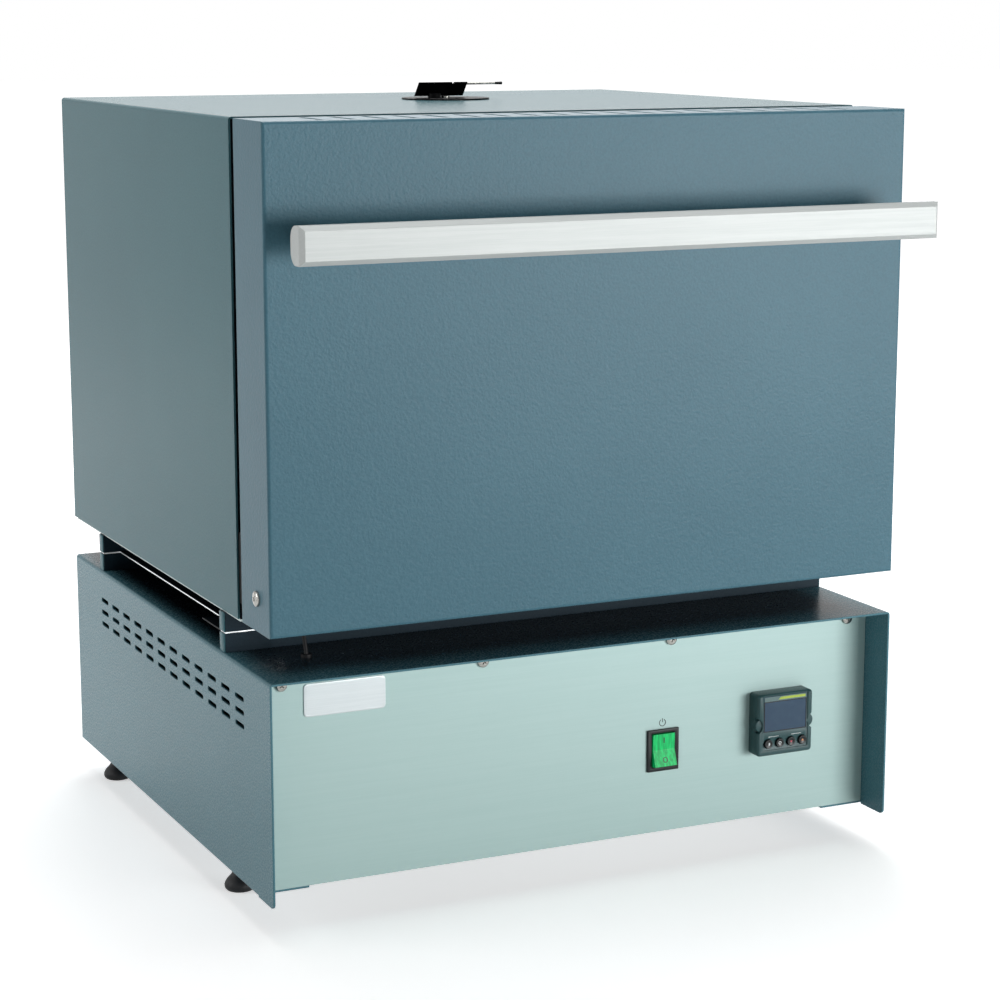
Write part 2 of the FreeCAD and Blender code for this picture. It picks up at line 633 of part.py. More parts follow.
def near(first, second):
    return abs(first - second) < 0.01


# ---- base ----


def baseCover():
    body = newBody("base_cover", ("0", BASE_FRONT, "foot_height"))
    inner = "(base_width - 2 * base_sheet)"
    flange_depth = "(base_depth - panel_recess)"
    flange_mid = f"(panel_recess + {flange_depth} / 2)"
    addBlock(body, ("0", "base_depth / 2", "base_height / 2"), ("base_width", "base_depth", "base_height"))
    dress(
        body,
        "Fillet",
        "cabinet_bend",
        lambda edge: runsAlong(edge, "Y") and near(edge.BoundBox.ZMin, size("base_height")),
    )
    cutBlock(
        body,
        ("0", "base_depth / 2", "(base_height - base_sheet) / 2"),
        (inner, "base_depth", "base_height - base_sheet"),
    )
    wing = addBlock(
        body,
        ("(base_width - base_sheet) / 2", "panel_recess / 2", "(rail_height - wing_drop) / 2"),
        ("base_sheet", "panel_recess", "rail_height + wing_drop"),
    )
    flange = addBlock(
        body,
        ("(base_width - base_flange) / 2", flange_mid, "base_sheet / 2"),
        ("base_flange", flange_depth, "base_sheet"),
    )
    mirror(body, [wing, flange], "X")
    dress(
        body,
        "Fillet",
        "wing_corner",
        lambda edge: runsAlong(
            edge,
            "X",
        ) and near(edge.BoundBox.YMin, 0) and near(edge.BoundBox.ZMin, -size("wing_drop")),
    )
    addBlock(
        body,
        ("0", "panel_recess + panel_sheet + base_sheet / 2", "base_height - base_sheet - rail_height / 2"),
        (inner, "base_sheet", "rail_height"),
    )
    vent = cutSlot(body, ("0", "vent_first", "vent_low"), "vent_length", "vent_height", "base_width", "X")
    repeatGrid(body, [vent], "Y", "vent_columns", "vent_pitch", "Z", "vent_rows", "vent_row_pitch")
    first = "-(panel_screws - 1) * panel_screw_pitch / 2"
    bore = cutDisc(
        body,
        (first, "panel_recess + panel_sheet + base_sheet / 2", "base_height - panel_screw_drop"),
        "screw_shank + 2 * running_gap",
        "3 * base_sheet",
        "Y",
    )
    repeat(body, [bore], "X", "panel_screws", "panel_screw_pitch")
    for side in ("-bolt_place", "bolt_place"):
        hole = cutDisc(
            body,
            (side, "channel_front + channel_depth / 2", "base_height - base_sheet / 2"),
            "bolt_bore",
            "3 * base_sheet",
        )
        repeat(body, [hole], "Y", 2, "channel_spread")
    for side in ("-foot_place", "foot_place"):
        hole = cutDisc(
            body,
            (side, "foot_front", "base_sheet / 2"),
            "foot_stud + 2 * running_gap",
            "3 * base_sheet",
        )
        repeat(body, [hole], "Y", 2, "foot_spread")
    lead = f"({CABINET_FRONT} + lead_back - lead_lean - {BASE_FRONT})"
    cutDisc(body, ("lead_place", lead, "base_height - base_sheet / 2"), "lead_hole", "3 * base_sheet")


def baseFloor():
    # A tray that lies on the flanges of the cover, between the two panels.
    start = "(panel_recess + panel_sheet + base_sheet + easy_gap)"
    depth = f"(base_depth - back_recess - panel_sheet - {start})"
    width = "(base_width - 2 * base_sheet - 2 * easy_gap)"
    body = newBody("base_floor", ("0", f"{BASE_FRONT} + {start}", "foot_height + base_sheet"))
    addBlock(body, ("0", f"{depth} / 2", "floor_flange / 2"), (width, depth, "floor_flange"))
    cutBlock(
        body,
        ("0", f"{depth} / 2", "base_sheet + floor_flange / 2"),
        (f"{width} - 2 * base_sheet", f"{depth} - 2 * base_sheet", "floor_flange"),
    )
    for side in ("-foot_place", "foot_place"):
        hole = cutDisc(
            body,
            (side, f"foot_front - {start}", "base_sheet / 2"),
            "foot_stud + 2 * running_gap",
            "3 * base_sheet",
        )
        repeat(body, [hole], "Y", 2, "foot_spread")
    bore = cutDisc(
        body,
        ("-3 * base_screw_pitch / 2", f"{depth} - base_sheet / 2", "base_screw_level"),
        "screw_shank + 2 * running_gap",
        "3 * base_sheet",
        "Y",
    )
    repeat(body, [bore], "X", 4, "base_screw_pitch")


def controlPanel():
    height = "(base_height - 2 * base_sheet)"
    body = newBody("control_panel", ("0", f"{PANEL_FACE} + panel_sheet / 2", "foot_height + base_sheet"))
    addBlock(
        body,
        ("0", "0", f"{height} / 2"),
        ("base_width - 2 * base_sheet - 2 * easy_gap", "panel_sheet", f"{height}"),
    )
    cutBlock(
        body,
        ("switch_place", "0", "switch_level - base_sheet"),
        ("housing_width + 2 * running_gap", "3 * panel_sheet", "housing_height + 2 * running_gap"),
    )
    opening = "controller_body + 2 * easy_gap"
    cutBlock(
        body,
        ("controller_place", "0", "controller_level - base_sheet"),
        (opening, "3 * panel_sheet", opening),
    )
    bore = cutDisc(
        body,
        ("-(panel_screws - 1) * panel_screw_pitch / 2", "0", "base_height - panel_screw_drop - base_sheet"),
        "screw_bore",
        "3 * panel_sheet",
        "Y",
    )
    repeat(body, [bore], "X", "panel_screws", "panel_screw_pitch")


def baseBackPanel():
    height = "(base_height - 2 * base_sheet)"
    body = newBody(
        "base_back_panel", ("0", f"{BASE_REAR} - back_recess - panel_sheet / 2", "foot_height + base_sheet")
    )
    addBlock(
        body,
        ("0", "0", f"{height} / 2"),
        ("base_width - 2 * base_sheet - 2 * easy_gap", "panel_sheet", f"{height}"),
    )
    cutDisc(
        body,
        ("gland_place", "0", "gland_level - base_sheet"),
        "gland_thread + 2 * running_gap",
        "3 * panel_sheet",
        "Y",
    )
    bore = cutDisc(
        body,
        ("-3 * base_screw_pitch / 2", "0", "base_screw_level"),
        "screw_bore",
        "3 * panel_sheet",
        "Y",
    )
    repeat(body, [bore], "X", 4, "base_screw_pitch")
    vent = cutSlot(
        body, ("-4 * vent_pitch", "0", f"{height} / 2"), "vent_length", "vent_height", "3 * panel_sheet", "Y"
    )
    repeatGrid(body, [vent], "X", 9, "vent_pitch", "Z", "vent_rows", "vent_row_pitch")


def panelScrews():
    body = newBody("panel_screws", ("0", PANEL_FACE, "foot_height + base_height - panel_screw_drop"))
    first = "-(panel_screws - 1) * panel_screw_pitch / 2"
    head = addDisc(body, (first, "-screw_head_height / 2", "0"), "screw_head", "screw_head_height", "Y")
    shank = addDisc(body, (first, "screw_reach / 2", "0"), "screw_shank", "screw_reach", "Y")
    repeat(body, [head, shank], "X", "panel_screws", "panel_screw_pitch")


def badgePlate():
    body = newBody(
        "badge_plate",
        ("badge_place", f"{PANEL_FACE} - badge_sheet / 2", "foot_height + badge_level"),
    )
    addBlock(body, ("0", "0", "0"), ("badge_width", "badge_sheet", "badge_height"), "Y")
    dress(body, "Fillet", "badge_corner", lambda edge: runsAlong(edge, "Y"))


def switchFrame():
    # The frame stands on the panel and its housing passes through the panel.
    body = newBody("switch_frame", ("switch_place", PANEL_FACE, "foot_height + switch_level"))
    addBlock(body, ("0", "-switch_proud / 2", "0"), ("switch_width", "switch_proud", "switch_height"), "Y")
    addBlock(body, ("0", "housing_depth / 2", "0"), ("housing_width", "housing_depth", "housing_height"), "Y")
    cavity = "(housing_depth - housing_floor + switch_proud)"
    cutBlock(
        body,
        ("0", f"{cavity} / 2 - switch_proud", "0"),
        ("rocker_width + 2 * easy_gap", cavity, "rocker_height + 2 * rocker_swing"),
        "Y",
    )
    cutDisc(
        body,
        ("0", "rocker_sink - switch_proud", "0"),
        "rocker_pin + 2 * running_gap",
        "rocker_width + 2 * rocker_pin_reach + 2 * running_gap",
        "X",
    )


def powerRocker():
    body = newBody(
        "power_rocker",
        ("switch_place", f"{PANEL_FACE} - switch_proud + rocker_sink", "foot_height + switch_level"),
    )
    body.Placement.Rotation = FreeCAD.Rotation(FreeCAD.Vector(-1, 0, 0), size("rocker_tilt"))
    bind(body, "Placement.Rotation.Angle", "rocker_tilt")
    item = newSketch(body, "X", ("0", "0", "0"))
    end, low = "rocker_height / 2", "-rocker_height / 2"
    outline(
        item,
        [
            ("-rocker_dip", "0"),
            ("-rocker_crest", end),
            ("rocker_back", end),
            ("rocker_back", low),
            ("-rocker_crest", low),
        ],
    )
    extrude(body, "Pad", item, "rocker_width")
    addDisc(body, ("0", "0", "0"), "rocker_pin", "rocker_width + 2 * rocker_pin_reach", "X")


def controllerCase():
    body = newBody("controller_case", ("controller_place", PANEL_FACE, "foot_height + controller_level"))
    addBlock(
        body,
        ("0", "-controller_proud / 2", "0"),
        ("controller_face", "controller_proud", "controller_face"),
        "Y",
    )
    dress(body, "Fillet", "controller_corner", lambda edge: runsAlong(edge, "Y"))
    addBlock(
        body,
        ("0", "controller_depth / 2", "0"),
        ("controller_body", "controller_depth", "controller_body"),
        "Y",
    )
    reach = "(controller_face / 2 + clip_proud - clip_round / 2)"
    clip = addDisc(body, (reach, "-controller_proud / 2", "0"), "clip_round", "clip_depth", "Y")
    mirror(body, [clip], "X")
    depth = "(screen_sheet + screen_sink)"
    cutBlock(
        body,
        ("0", f"-controller_proud + {depth} / 2", "screen_level"),
        ("screen_width + 2 * running_gap", depth, "screen_height + 2 * running_gap"),
        "Y",
    )
    hole = "(button_depth + button_travel)"
    bore = cutDisc(
        body,
        ("-1.5 * button_pitch", f"-controller_proud + {hole} / 2", "button_level"),
        "button_round + 2 * running_gap",
        hole,
        "Y",
    )
    repeat(body, [bore], "X", 4, "button_pitch")


def controllerScreen():
    body = newBody(
        "controller_screen",
        (
            "controller_place",
            f"{PANEL_FACE} - controller_proud + screen_sink",
            "foot_height + controller_level + screen_level",
        ),
    )
    addBlock(body, ("0", "screen_sheet / 2", "0"), ("screen_width", "screen_sheet", "screen_height"), "Y")


def controllerButtons():
    for number in range(4):
        body = newBody(
            f"controller_button_{number + 1}",
            (
                f"controller_place + ({number} - 1.5) * button_pitch",
                f"{PANEL_FACE} - controller_proud",
                "foot_height + controller_level + button_level",
            ),
        )
        addDisc(
            body,
            ("0", "(button_depth - button_proud) / 2", "0"),
            "button_round",
            "button_depth + button_proud",
            "Y",
        )


def feet():
    # A rubber foot on a bonded stud, with its nut above the floor of the base.
    stud_top = "(foot_height + foot_stud_reach)"
    nut_low = "(foot_height + 2 * base_sheet)"
    for end, back in (("front", "foot_front"), ("rear", "foot_front + foot_spread")):
        for side, place in (("left", "-foot_place"), ("right", "foot_place")):
            body = newBody(f"foot_{end}_{side}", (place, f"{BASE_FRONT} + {back}", "0"))
            addTurned(
                body,
                ("0", "0", "0"),
                [
                    ("0", "0"),
                    ("foot_sole / 2", "0"),
                    ("foot_round / 2", "foot_edge"),
                    ("foot_neck / 2", "foot_shoulder"),
                    ("foot_neck / 2", "foot_height"),
                    ("foot_stud / 2", "foot_height"),
                    ("foot_stud / 2", nut_low),
                    ("foot_nut / 2", nut_low),
                    ("foot_nut / 2", f"{nut_low} + foot_nut_height"),
                    ("foot_stud / 2", f"{nut_low} + foot_nut_height"),
                    ("foot_stud / 2", stud_top),
                    ("0", stud_top),
                ],
            )


# ---- electrics inside the base ----


def heatSink():
    body = newBody(
        "relay_heat_sink", ("sink_place", f"{BASE_FRONT} + sink_back", "foot_height + 2 * base_sheet")
    )
    addBlock(
        body,
        ("0", "0", "sink_fin_height + sink_plate / 2"),
        ("sink_width", "sink_depth", "sink_plate"),
    )
    first = "-(sink_width - sink_fin) / 2"
    fin = addBlock(body, (first, "0", "sink_fin_height / 2"), ("sink_fin", "sink_depth", "sink_fin_height"))
    repeat(body, [fin], "X", "sink_fins", "(sink_width - sink_fin) / (sink_fins - 1)")


def relay():
    body = newBody(
        "solid_state_relay",
        (
            "sink_place",
            f"{BASE_FRONT} + sink_back",
            "foot_height + 2 * base_sheet + sink_fin_height + sink_plate",
        ),
    )
    addBlock(body, ("0", "0", "relay_height / 2"), ("relay_width", "relay_depth", "relay_height"))
    first = (
        "-relay_width / 4",
        "-relay_depth / 2 + relay_terminal",
        "relay_height + relay_terminal_height / 2",
    )
    head = addDisc(body, first, "relay_terminal", "relay_terminal_height")
    repeatGrid(body, [head], "X", 2, "relay_width / 2", "Y", 2, "relay_depth - 2 * relay_terminal")


def terminalBlock():
    body = newBody(
        "terminal_block", ("strip_place", f"{BASE_FRONT} + strip_back", "foot_height + 2 * base_sheet")
    )
    addBlock(body, ("0", "0", "strip_height / 2"), ("strip_width", "strip_depth", "strip_height"))
    first = "-(strip_poles - 1) * strip_pitch / 2"
    wire = cutDisc(body, (first, "0", "strip_height / 2"), "strip_bore", "strip_depth", "Y")
    screw = cutDisc(body, (first, "strip_depth / 4", "strip_height"), "strip_bore", "strip_height / 2")
    repeat(body, [wire, screw], "X", "strip_poles", "strip_pitch")


def cordGland():
    body = newBody(
        "cord_gland", ("gland_place", f"{BASE_REAR} - back_recess - panel_sheet", "foot_height + gland_level")
    )
    addDisc(
        body,
        ("0", "(panel_sheet - gland_inside) / 2", "0"),
        "gland_thread",
        "gland_inside + panel_sheet",
        "Y",
    )
    addDisc(body, ("0", "-gland_nut_height / 2", "0"), "gland_nut", "gland_nut_height", "Y")
    addDisc(
        body,
        ("0", "panel_sheet + gland_dome_height / 2", "0"),
        "gland_dome",
        "gland_dome_height",
        "Y",
    )
    length = "(gland_inside + panel_sheet + gland_dome_height)"
    cutDisc(body, ("0", f"{length} / 2 - gland_inside", "0"), "gland_bore", length, "Y")


# ---- cross channels and heat shield ----


def crossChannel(label, back, low, height):
    body = newBody(label, ("0", f"{BASE_FRONT} + {back} + channel_depth / 2", low))
    middle = ("0", "0", f"{height} / 2")
    addBlock(body, middle, ("channel_width", "channel_depth", height))
    cutBlock(
        body,
        middle,
        ("channel_width", "channel_depth - 2 * channel_sheet", f"{height} - 2 * channel_sheet"),
        "X",
    )
    hole = cutDisc(body, ("-bolt_place", "0", f"{height} / 2"), "bolt_bore", height)
    repeat(body, [hole], "X", 2, "2 * bolt_place")


def crossChannels():
    rear = "(channel_front + channel_spread)"
    crossChannel("front_riser", "channel_front", BASE_TOP, "riser_height")
    crossChannel("rear_riser", rear, BASE_TOP, "riser_height")
    crossChannel("front_bearer", "channel_front", BEARER_LOW, "bearer_height")
    crossChannel("rear_bearer", rear, BEARER_LOW, "bearer_height")


def heatShield():
    body = newBody("heat_shield", ("0", f"{BASE_FRONT} + channel_front", f"{SHIELD_LOW} + shield_sheet / 2"))
    depth = "(channel_spread + channel_depth)"
    addBlock(body, ("0", f"{depth} / 2", "0"), ("channel_width", depth, "shield_sheet"))
    notch = cutBlock(
        body,
        ("(channel_width - shield_inset) / 2", "(shield_tab + channel_spread) / 2", "0"),
        ("shield_inset", "channel_spread - shield_tab", "shield_sheet"),
    )
    mirror(body, [notch], "X")
    hole = cutDisc(body, ("-bolt_place", "channel_depth / 2", "0"), "bolt_bore", "shield_sheet")
    repeatGrid(body, [hole], "X", 2, "2 * bolt_place", "Y", 2, "channel_spread")


def channelBolts():
    # Four bolts from inside the base to the cabinet floor, each with its nut.
    top = f"({PAN_TOP} - {BASE_TOP} + base_sheet)"
    body = newBody(
        "channel_bolts",
        ("-bolt_place", f"{BASE_FRONT} + channel_front + channel_depth / 2", f"{BASE_TOP} - base_sheet"),
    )
    bolt = addTurned(
        body,
        ("0", "0", "0"),
        [
            ("0", "-bolt_head_height"),
            ("bolt_head / 2", "-bolt_head_height"),
            ("bolt_head / 2", "0"),
            ("bolt_shank / 2", "0"),
            ("bolt_shank / 2", top),
            ("bolt_nut / 2", top),
            ("bolt_nut / 2", f"{top} + bolt_nut_height"),
            ("bolt_shank / 2", f"{top} + bolt_nut_height"),
            ("bolt_shank / 2", f"{top} + bolt_nut_height + bolt_end"),
            ("0", f"{top} + bolt_nut_height + bolt_end"),
        ],
    )
    repeatGrid(body, [bolt], "X", 2, "2 * bolt_place", "Y", 2, "channel_spread")


# ---- chamber cabinet ----


def cabinetWrapper():
    body = newBody("cabinet_wrapper", ("0", CABINET_FRONT, CABINET_LOW))
    addBlock(
        body,
        ("0", "cabinet_depth / 2", "cabinet_height / 2"),
        ("cabinet_width", "cabinet_depth", "cabinet_height"),
    )
    dress(
        body,
        "Fillet",
        "cabinet_bend",
        lambda edge: runsAlong(edge, "Y") and near(edge.BoundBox.ZMin, size("cabinet_height")),
    )
    cutBlock(
        body,
        ("0", "cabinet_depth / 2", "(cabinet_height - cabinet_sheet) / 2"),
        ("cabinet_width - 2 * cabinet_sheet", "cabinet_depth", "cabinet_height - cabinet_sheet"),
    )
    flange_mid = "(cabinet_depth - rear_recess - 1.5 * cabinet_sheet)"
    flange_height = "(cabinet_height - cabinet_sheet)"
    flange = addBlock(
        body,
        ("(cabinet_width - rear_flange) / 2 - cabinet_sheet", flange_mid, f"{flange_height} / 2"),
        ("rear_flange", "cabinet_sheet", flange_height),
    )
    mirror(body, [flange], "X")
    cutDisc(body, ("0", "flue_back", "cabinet_height - cabinet_sheet / 2"), "flue_hole", "3 * cabinet_sheet")
    cutDisc(
        body,
        ("damper_offset", "flue_back", "cabinet_height - cabinet_sheet / 2"),
        "pivot_shank + 2 * running_gap",
        "3 * cabinet_sheet",
    )
    place = "(cabinet_width / 2 - cabinet_sheet - rear_screw_inset)"
    bore = cutDisc(
        body,
        (
            f"-{place}",
            flange_mid,
            "cabinet_height / 2 - (rear_screw_rows - 1) * rear_screw_pitch / 2",
        ),
        "screw_shank + 2 * running_gap",
        "3 * cabinet_sheet",
        "Y",
    )
    repeatGrid(body, [bore], "X", 2, f"2 * {place}", "Z", "rear_screw_rows", "rear_screw_pitch")


def cabinetFloorPan():
    width = "(cabinet_width - 2 * cabinet_sheet - 2 * easy_gap)"
    body = newBody("cabinet_floor_pan", ("0", CABINET_FRONT, PAN_LOW))
    depth = "(cabinet_depth - rear_recess)"
    addBlock(body, ("0", f"{depth} / 2", "cabinet_sheet / 2"), (width, depth, "cabinet_sheet"))
    front = "(cabinet_sheet + easy_gap)"
    rear = f"({depth} - 2 * cabinet_sheet - easy_gap)"
    flange = addBlock(
        body,
        (f"({width} - cabinet_sheet) / 2", f"({front} + {rear}) / 2", "pan_flange / 2"),
        ("cabinet_sheet", f"{rear} - {front}", "pan_flange"),
    )
    mirror(body, [flange], "X")
    first = f"({BASE_FRONT} + channel_front + channel_depth / 2 - {CABINET_FRONT})"
    hole = cutDisc(body, ("-bolt_place", first, "cabinet_sheet / 2"), "bolt_bore", "3 * cabinet_sheet")
    repeatGrid(body, [hole], "X", 2, "2 * bolt_place", "Y", 2, "channel_spread")
    cutDisc(body, ("lead_place", "lead_back", "cabinet_sheet / 2"), "lead_hole", "3 * cabinet_sheet")


def cabinetBackPanel():
    body = newBody(
        "cabinet_back_panel", ("0", f"{CABINET_REAR} - rear_recess - cabinet_sheet / 2", PAN_TOP)
    )
    height = f"({CABINET_TOP} - cabinet_sheet - {PAN_TOP})"
    addBlock(
        body,
        ("0", "0", f"{height} / 2"),
        ("cabinet_width - 2 * cabinet_sheet - 2 * easy_gap", "cabinet_sheet", height),
        "Y",
    )
    middle = f"({CABINET_LOW} - {PAN_TOP} + cabinet_height / 2)"
    for row in (-1, 1):
        item = newSketch(
            body,
            "Y",
            ("-(rear_vents - 1) * rear_vent_pitch / 2", "0", f"{middle} + {row} * rear_vent_rise"),
        )
        rectangle(item, "rear_vent_width", "rear_vent_length")
        vent = extrude(body, "Pocket", item, "3 * cabinet_sheet")
        repeat(body, [vent], "X", "rear_vents", "rear_vent_pitch")
    place = "(cabinet_width / 2 - cabinet_sheet - rear_screw_inset)"
    bore = cutDisc(
        body,
        (f"-{place}", "0", f"{middle} - (rear_screw_rows - 1) * rear_screw_pitch / 2"),
        "screw_bore",
        "3 * cabinet_sheet",
        "Y",
    )
    repeatGrid(body, [bore], "X", 2, f"2 * {place}", "Z", "rear_screw_rows", "rear_screw_pitch")


def rearScrews():
    # Six screws of the cabinet rear panel and four of the base rear panel.
    body = newBody(
        "rear_screws",
        ("0", f"{CABINET_REAR} - rear_recess", f"{CABINET_LOW} + cabinet_height / 2"),
    )
    place = "(cabinet_width / 2 - cabinet_sheet - rear_screw_inset)"
    low = "-(rear_screw_rows - 1) * rear_screw_pitch / 2"
    head = addDisc(body, (f"-{place}", "screw_head_height / 2", low), "screw_head", "screw_head_height", "Y")
    shank = addDisc(body, (f"-{place}", "-screw_reach / 2", low), "screw_shank", "screw_reach", "Y")
    repeatGrid(body, [head, shank], "X", 2, f"2 * {place}", "Z", "rear_screw_rows", "rear_screw_pitch")
    back = f"({BASE_REAR} - back_recess - {CABINET_REAR} + rear_recess)"
    level = f"(foot_height + base_sheet + base_screw_level - {CABINET_LOW} - cabinet_height / 2)"
    first = "-3 * base_screw_pitch / 2"
    head = addDisc(
        body,
        (first, f"{back} + screw_head_height / 2", level),
        "screw_head",
        "screw_head_height",
        "Y",
    )
    shank = addDisc(body, (first, f"{back} - screw_reach / 2", level), "screw_shank", "screw_reach", "Y")
    repeat(body, [head, shank], "X", 4, "base_screw_pitch")


def mouthFrame():
    body = newBody("mouth_frame", ("0", f"{CABINET_FRONT} + cabinet_sheet / 2", PAN_TOP))
    height = f"({CABINET_TOP} - cabinet_sheet - {PAN_TOP})"
    addBlock(
        body,
        ("0", "0", f"{height} / 2"),
        ("cabinet_width - 2 * cabinet_sheet - 2 * easy_gap", "cabinet_sheet", height),
        "Y",
    )
    cutBlock(
        body,
        ("0", "0", f"{CHAMBER_MID} - {PAN_TOP}"),
        ("chamber_width + 2 * mouth_margin", "3 * cabinet_sheet", "chamber_height + 2 * mouth_margin"),
        "Y",
    )
    cutDisc(
        body,
        ("door_switch_place", "0", "door_switch_level"),
        "plunger_round + 2 * running_gap",
        "3 * cabinet_sheet",
        "Y",
    )


def leadNotch(body, low, high):
    # A notch for the switch lead in the front face of a slab that starts at PACK_FRONT.
    cutBlock(
        body,
        ("lead_place", "lead_back - cabinet_sheet", f"({low} + {high}) / 2"),
        ("lead_hole", "2 * (lead_back - cabinet_sheet)", f"{high} - ({low})"),
    )


def insulationFloor():
    body = newBody("insulation_floor", ("0", PACK_FRONT, PAN_TOP))
    addBlock(
        body, ("0", "pack_depth / 2", "hearth_pack / 2"), ("pack_width", "pack_depth", "hearth_pack")
    )
    first = f"({BASE_FRONT} + channel_front + channel_depth / 2 - {PACK_FRONT})"
    recess = cutDisc(
        body, ("-bolt_place", first, "bolt_recess_height / 2"), "bolt_recess", "bolt_recess_height"
    )
    repeatGrid(body, [recess], "X", 2, "2 * bolt_place", "Y", 2, "channel_spread")
    leadNotch(body, "0", "hearth_pack")


def insulationRoof():
    height = f"({CABINET_TOP} - cabinet_sheet - roof_gap - {CHAMBER_TOP})"
    body = newBody("insulation_roof", ("0", PACK_FRONT, CHAMBER_TOP))
    addBlock(body, ("0", "pack_depth / 2", f"{height} / 2"), ("pack_width", "pack_depth", height))
    back = f"({DAMPER_BACK} - {PACK_FRONT})"
    cutBlock(body, ("0", back, f"{height} / 2"), ("flue_block", "flue_block", height))


def flueBlock():
    # Square block set in the roof, bored for the flue tube and the damper pivot.
    height = f"({CABINET_TOP} - cabinet_sheet - roof_gap - {CHAMBER_TOP})"
    body = newBody("flue_block", ("0", DAMPER_BACK, CHAMBER_TOP))
    addBlock(body, ("0", "0", f"{height} / 2"), ("flue_block", "flue_block", height))
    cutDisc(body, ("0", "0", f"{height} / 2"), "flue_outside + 2 * easy_gap", height)
    cutDisc(body, ("damper_offset", "0", f"{height} - pivot_reach / 2"), "2 * pivot_shank", "pivot_reach")


ELEMENT_DEEP = "(element_round / 2 + 2 * easy_gap)"
ELEMENT_LOW = "(chamber_height / 2 - (2 * element_turns - 1) * element_pitch / 2)"


def insulationSide(label, side):
    # Side wall with grooves for the coil runs, the bends that join them and the straight ends.
    thick = "((pack_width - chamber_width) / 2)"
    body = newBody(label, (f"{side} * chamber_width / 2", PACK_FRONT, CHAMBER_LOW))
    addBlock(
        body,
        (f"{side} * {thick} / 2", "pack_depth / 2", "chamber_height / 2"),
        (thick, "pack_depth", "chamber_height"),
    )
    high = "(element_round + 2 * easy_gap)"
    narrow = "(element_tail + 2 * easy_gap)"
    deep = f"({ELEMENT_DEEP} + element_round / 2 + easy_gap)"
    across = f"{side} * {deep} / 2"
    run = cutBlock(
        body,
        (across, "element_front + element_length / 2", ELEMENT_LOW),
        (deep, "element_length + 2 * easy_gap", high),
    )
    repeat(body, [run], "Z", "2 * element_turns", "element_pitch")
    front = "(element_front + element_tail)"
    rear = "(element_front + element_length - element_tail)"
    bend = cutBlock(
        body,
        (across, front, f"{ELEMENT_LOW} + element_pitch / 2"),
        (deep, narrow, "element_pitch"),
    )
    repeat(body, [bend], "Z", "element_turns", "2 * element_pitch")
    bend = cutBlock(
        body,
        (across, rear, f"{ELEMENT_LOW} + 1.5 * element_pitch"),
        (deep, narrow, "element_pitch"),
    )
    repeat(body, [bend], "Z", "element_turns - 1", "2 * element_pitch")
    rest = "(pack_depth - element_front - element_length)"
    tail = cutDisc(
        body,
        (f"{side} * {ELEMENT_DEEP}", f"pack_depth - {rest} / 2", ELEMENT_LOW),
        narrow,
        rest,
        "Y",
    )
    repeat(body, [tail], "Z", 2, "(2 * element_turns - 1) * element_pitch")
    if side == -1:
        level = f"({PAN_TOP} + door_switch_level - {CHAMBER_LOW})"
        cutBlock(
            body,
            ("door_switch_place + chamber_width / 2", "(switch_box_depth + easy_gap) / 2", level),
            (
                "switch_box_width + 2 * easy_gap",
                "switch_box_depth + easy_gap",
                "switch_box_height + 2 * easy_gap",
            ),
        )
        cutBlock(
            body,
            (
                "lead_place + chamber_width / 2",
                "lead_back - cabinet_sheet",
                f"({level} - switch_box_height / 2) / 2",
            ),
            ("lead_hole", "2 * (lead_back - cabinet_sheet)", f"{level} - switch_box_height / 2"),
        )


def insulationBack():
    body = newBody("insulation_back", ("0", f"{PACK_FRONT} + chamber_depth", CHAMBER_LOW))
    depth = "(pack_depth - chamber_depth)"
    addBlock(body, ("0", f"{depth} / 2", "chamber_height / 2"), ("chamber_width", depth, "chamber_height"))
    cutDisc(body, ("0", f"{depth} / 2", "probe_level"), "probe_round + 2 * easy_gap", depth, "Y")


def heatingElement(label, side):
    # Straight coil runs joined by bends into one winding, with both ends leaving to the rear.
    body = newBody(
        label,
        (
            f"{side} * (chamber_width / 2 + {ELEMENT_DEEP})",
            f"{PACK_FRONT} + element_front",
            f"{CHAMBER_LOW} + {ELEMENT_LOW}",
        ),
    )
    run = addDisc(body, ("0", "element_length / 2", "0"), "element_round", "element_length", "Y")
    repeat(body, [run], "Z", "2 * element_turns", "element_pitch")
    bend = addDisc(body, ("0", "element_tail", "element_pitch / 2"), "element_tail", "element_pitch")
    repeat(body, [bend], "Z", "element_turns", "2 * element_pitch")
    bend = addDisc(
        body,
        ("0", "element_length - element_tail", "1.5 * element_pitch"),
        "element_tail",
        "element_pitch",
    )
    repeat(body, [bend], "Z", "element_turns - 1", "2 * element_pitch")
    tail = "(pack_depth - element_front - element_length + element_tail_reach)"
    end = addDisc(
        body,
        ("0", f"element_length + ({tail} - joined) / 2", "0"),
        "element_tail",
        f"{tail} + joined",
        "Y",
    )
    repeat(body, [end], "Z", 2, "(2 * element_turns - 1) * element_pitch")


def hearthPlate():
    body = newBody("hearth_plate", ("0", f"{PACK_FRONT} + hearth_setback", CHAMBER_LOW))
    addBlock(
        body,
        ("0", "hearth_depth / 2", "hearth_sheet / 2"),
        ("hearth_width", "hearth_depth", "hearth_sheet"),
    )
    dress(body, "Chamfer", "hearth_edge", lambda edge: near(edge.BoundBox.ZMin, size("hearth_sheet")))


def thermocouple():
    body = newBody(
        "thermocouple", ("0", f"{PACK_FRONT} + pack_depth", f"{CHAMBER_LOW} + probe_level")
    )
    addDisc(body, ("0", "probe_head_length / 2", "0"), "probe_head_round", "probe_head_length", "Y")
    length = "(pack_depth - chamber_depth + probe_reach)"
    addDisc(body, ("0", f"(joined - {length}) / 2", "0"), "probe_round", f"{length} + joined", "Y")


# ---- flue and damper ----


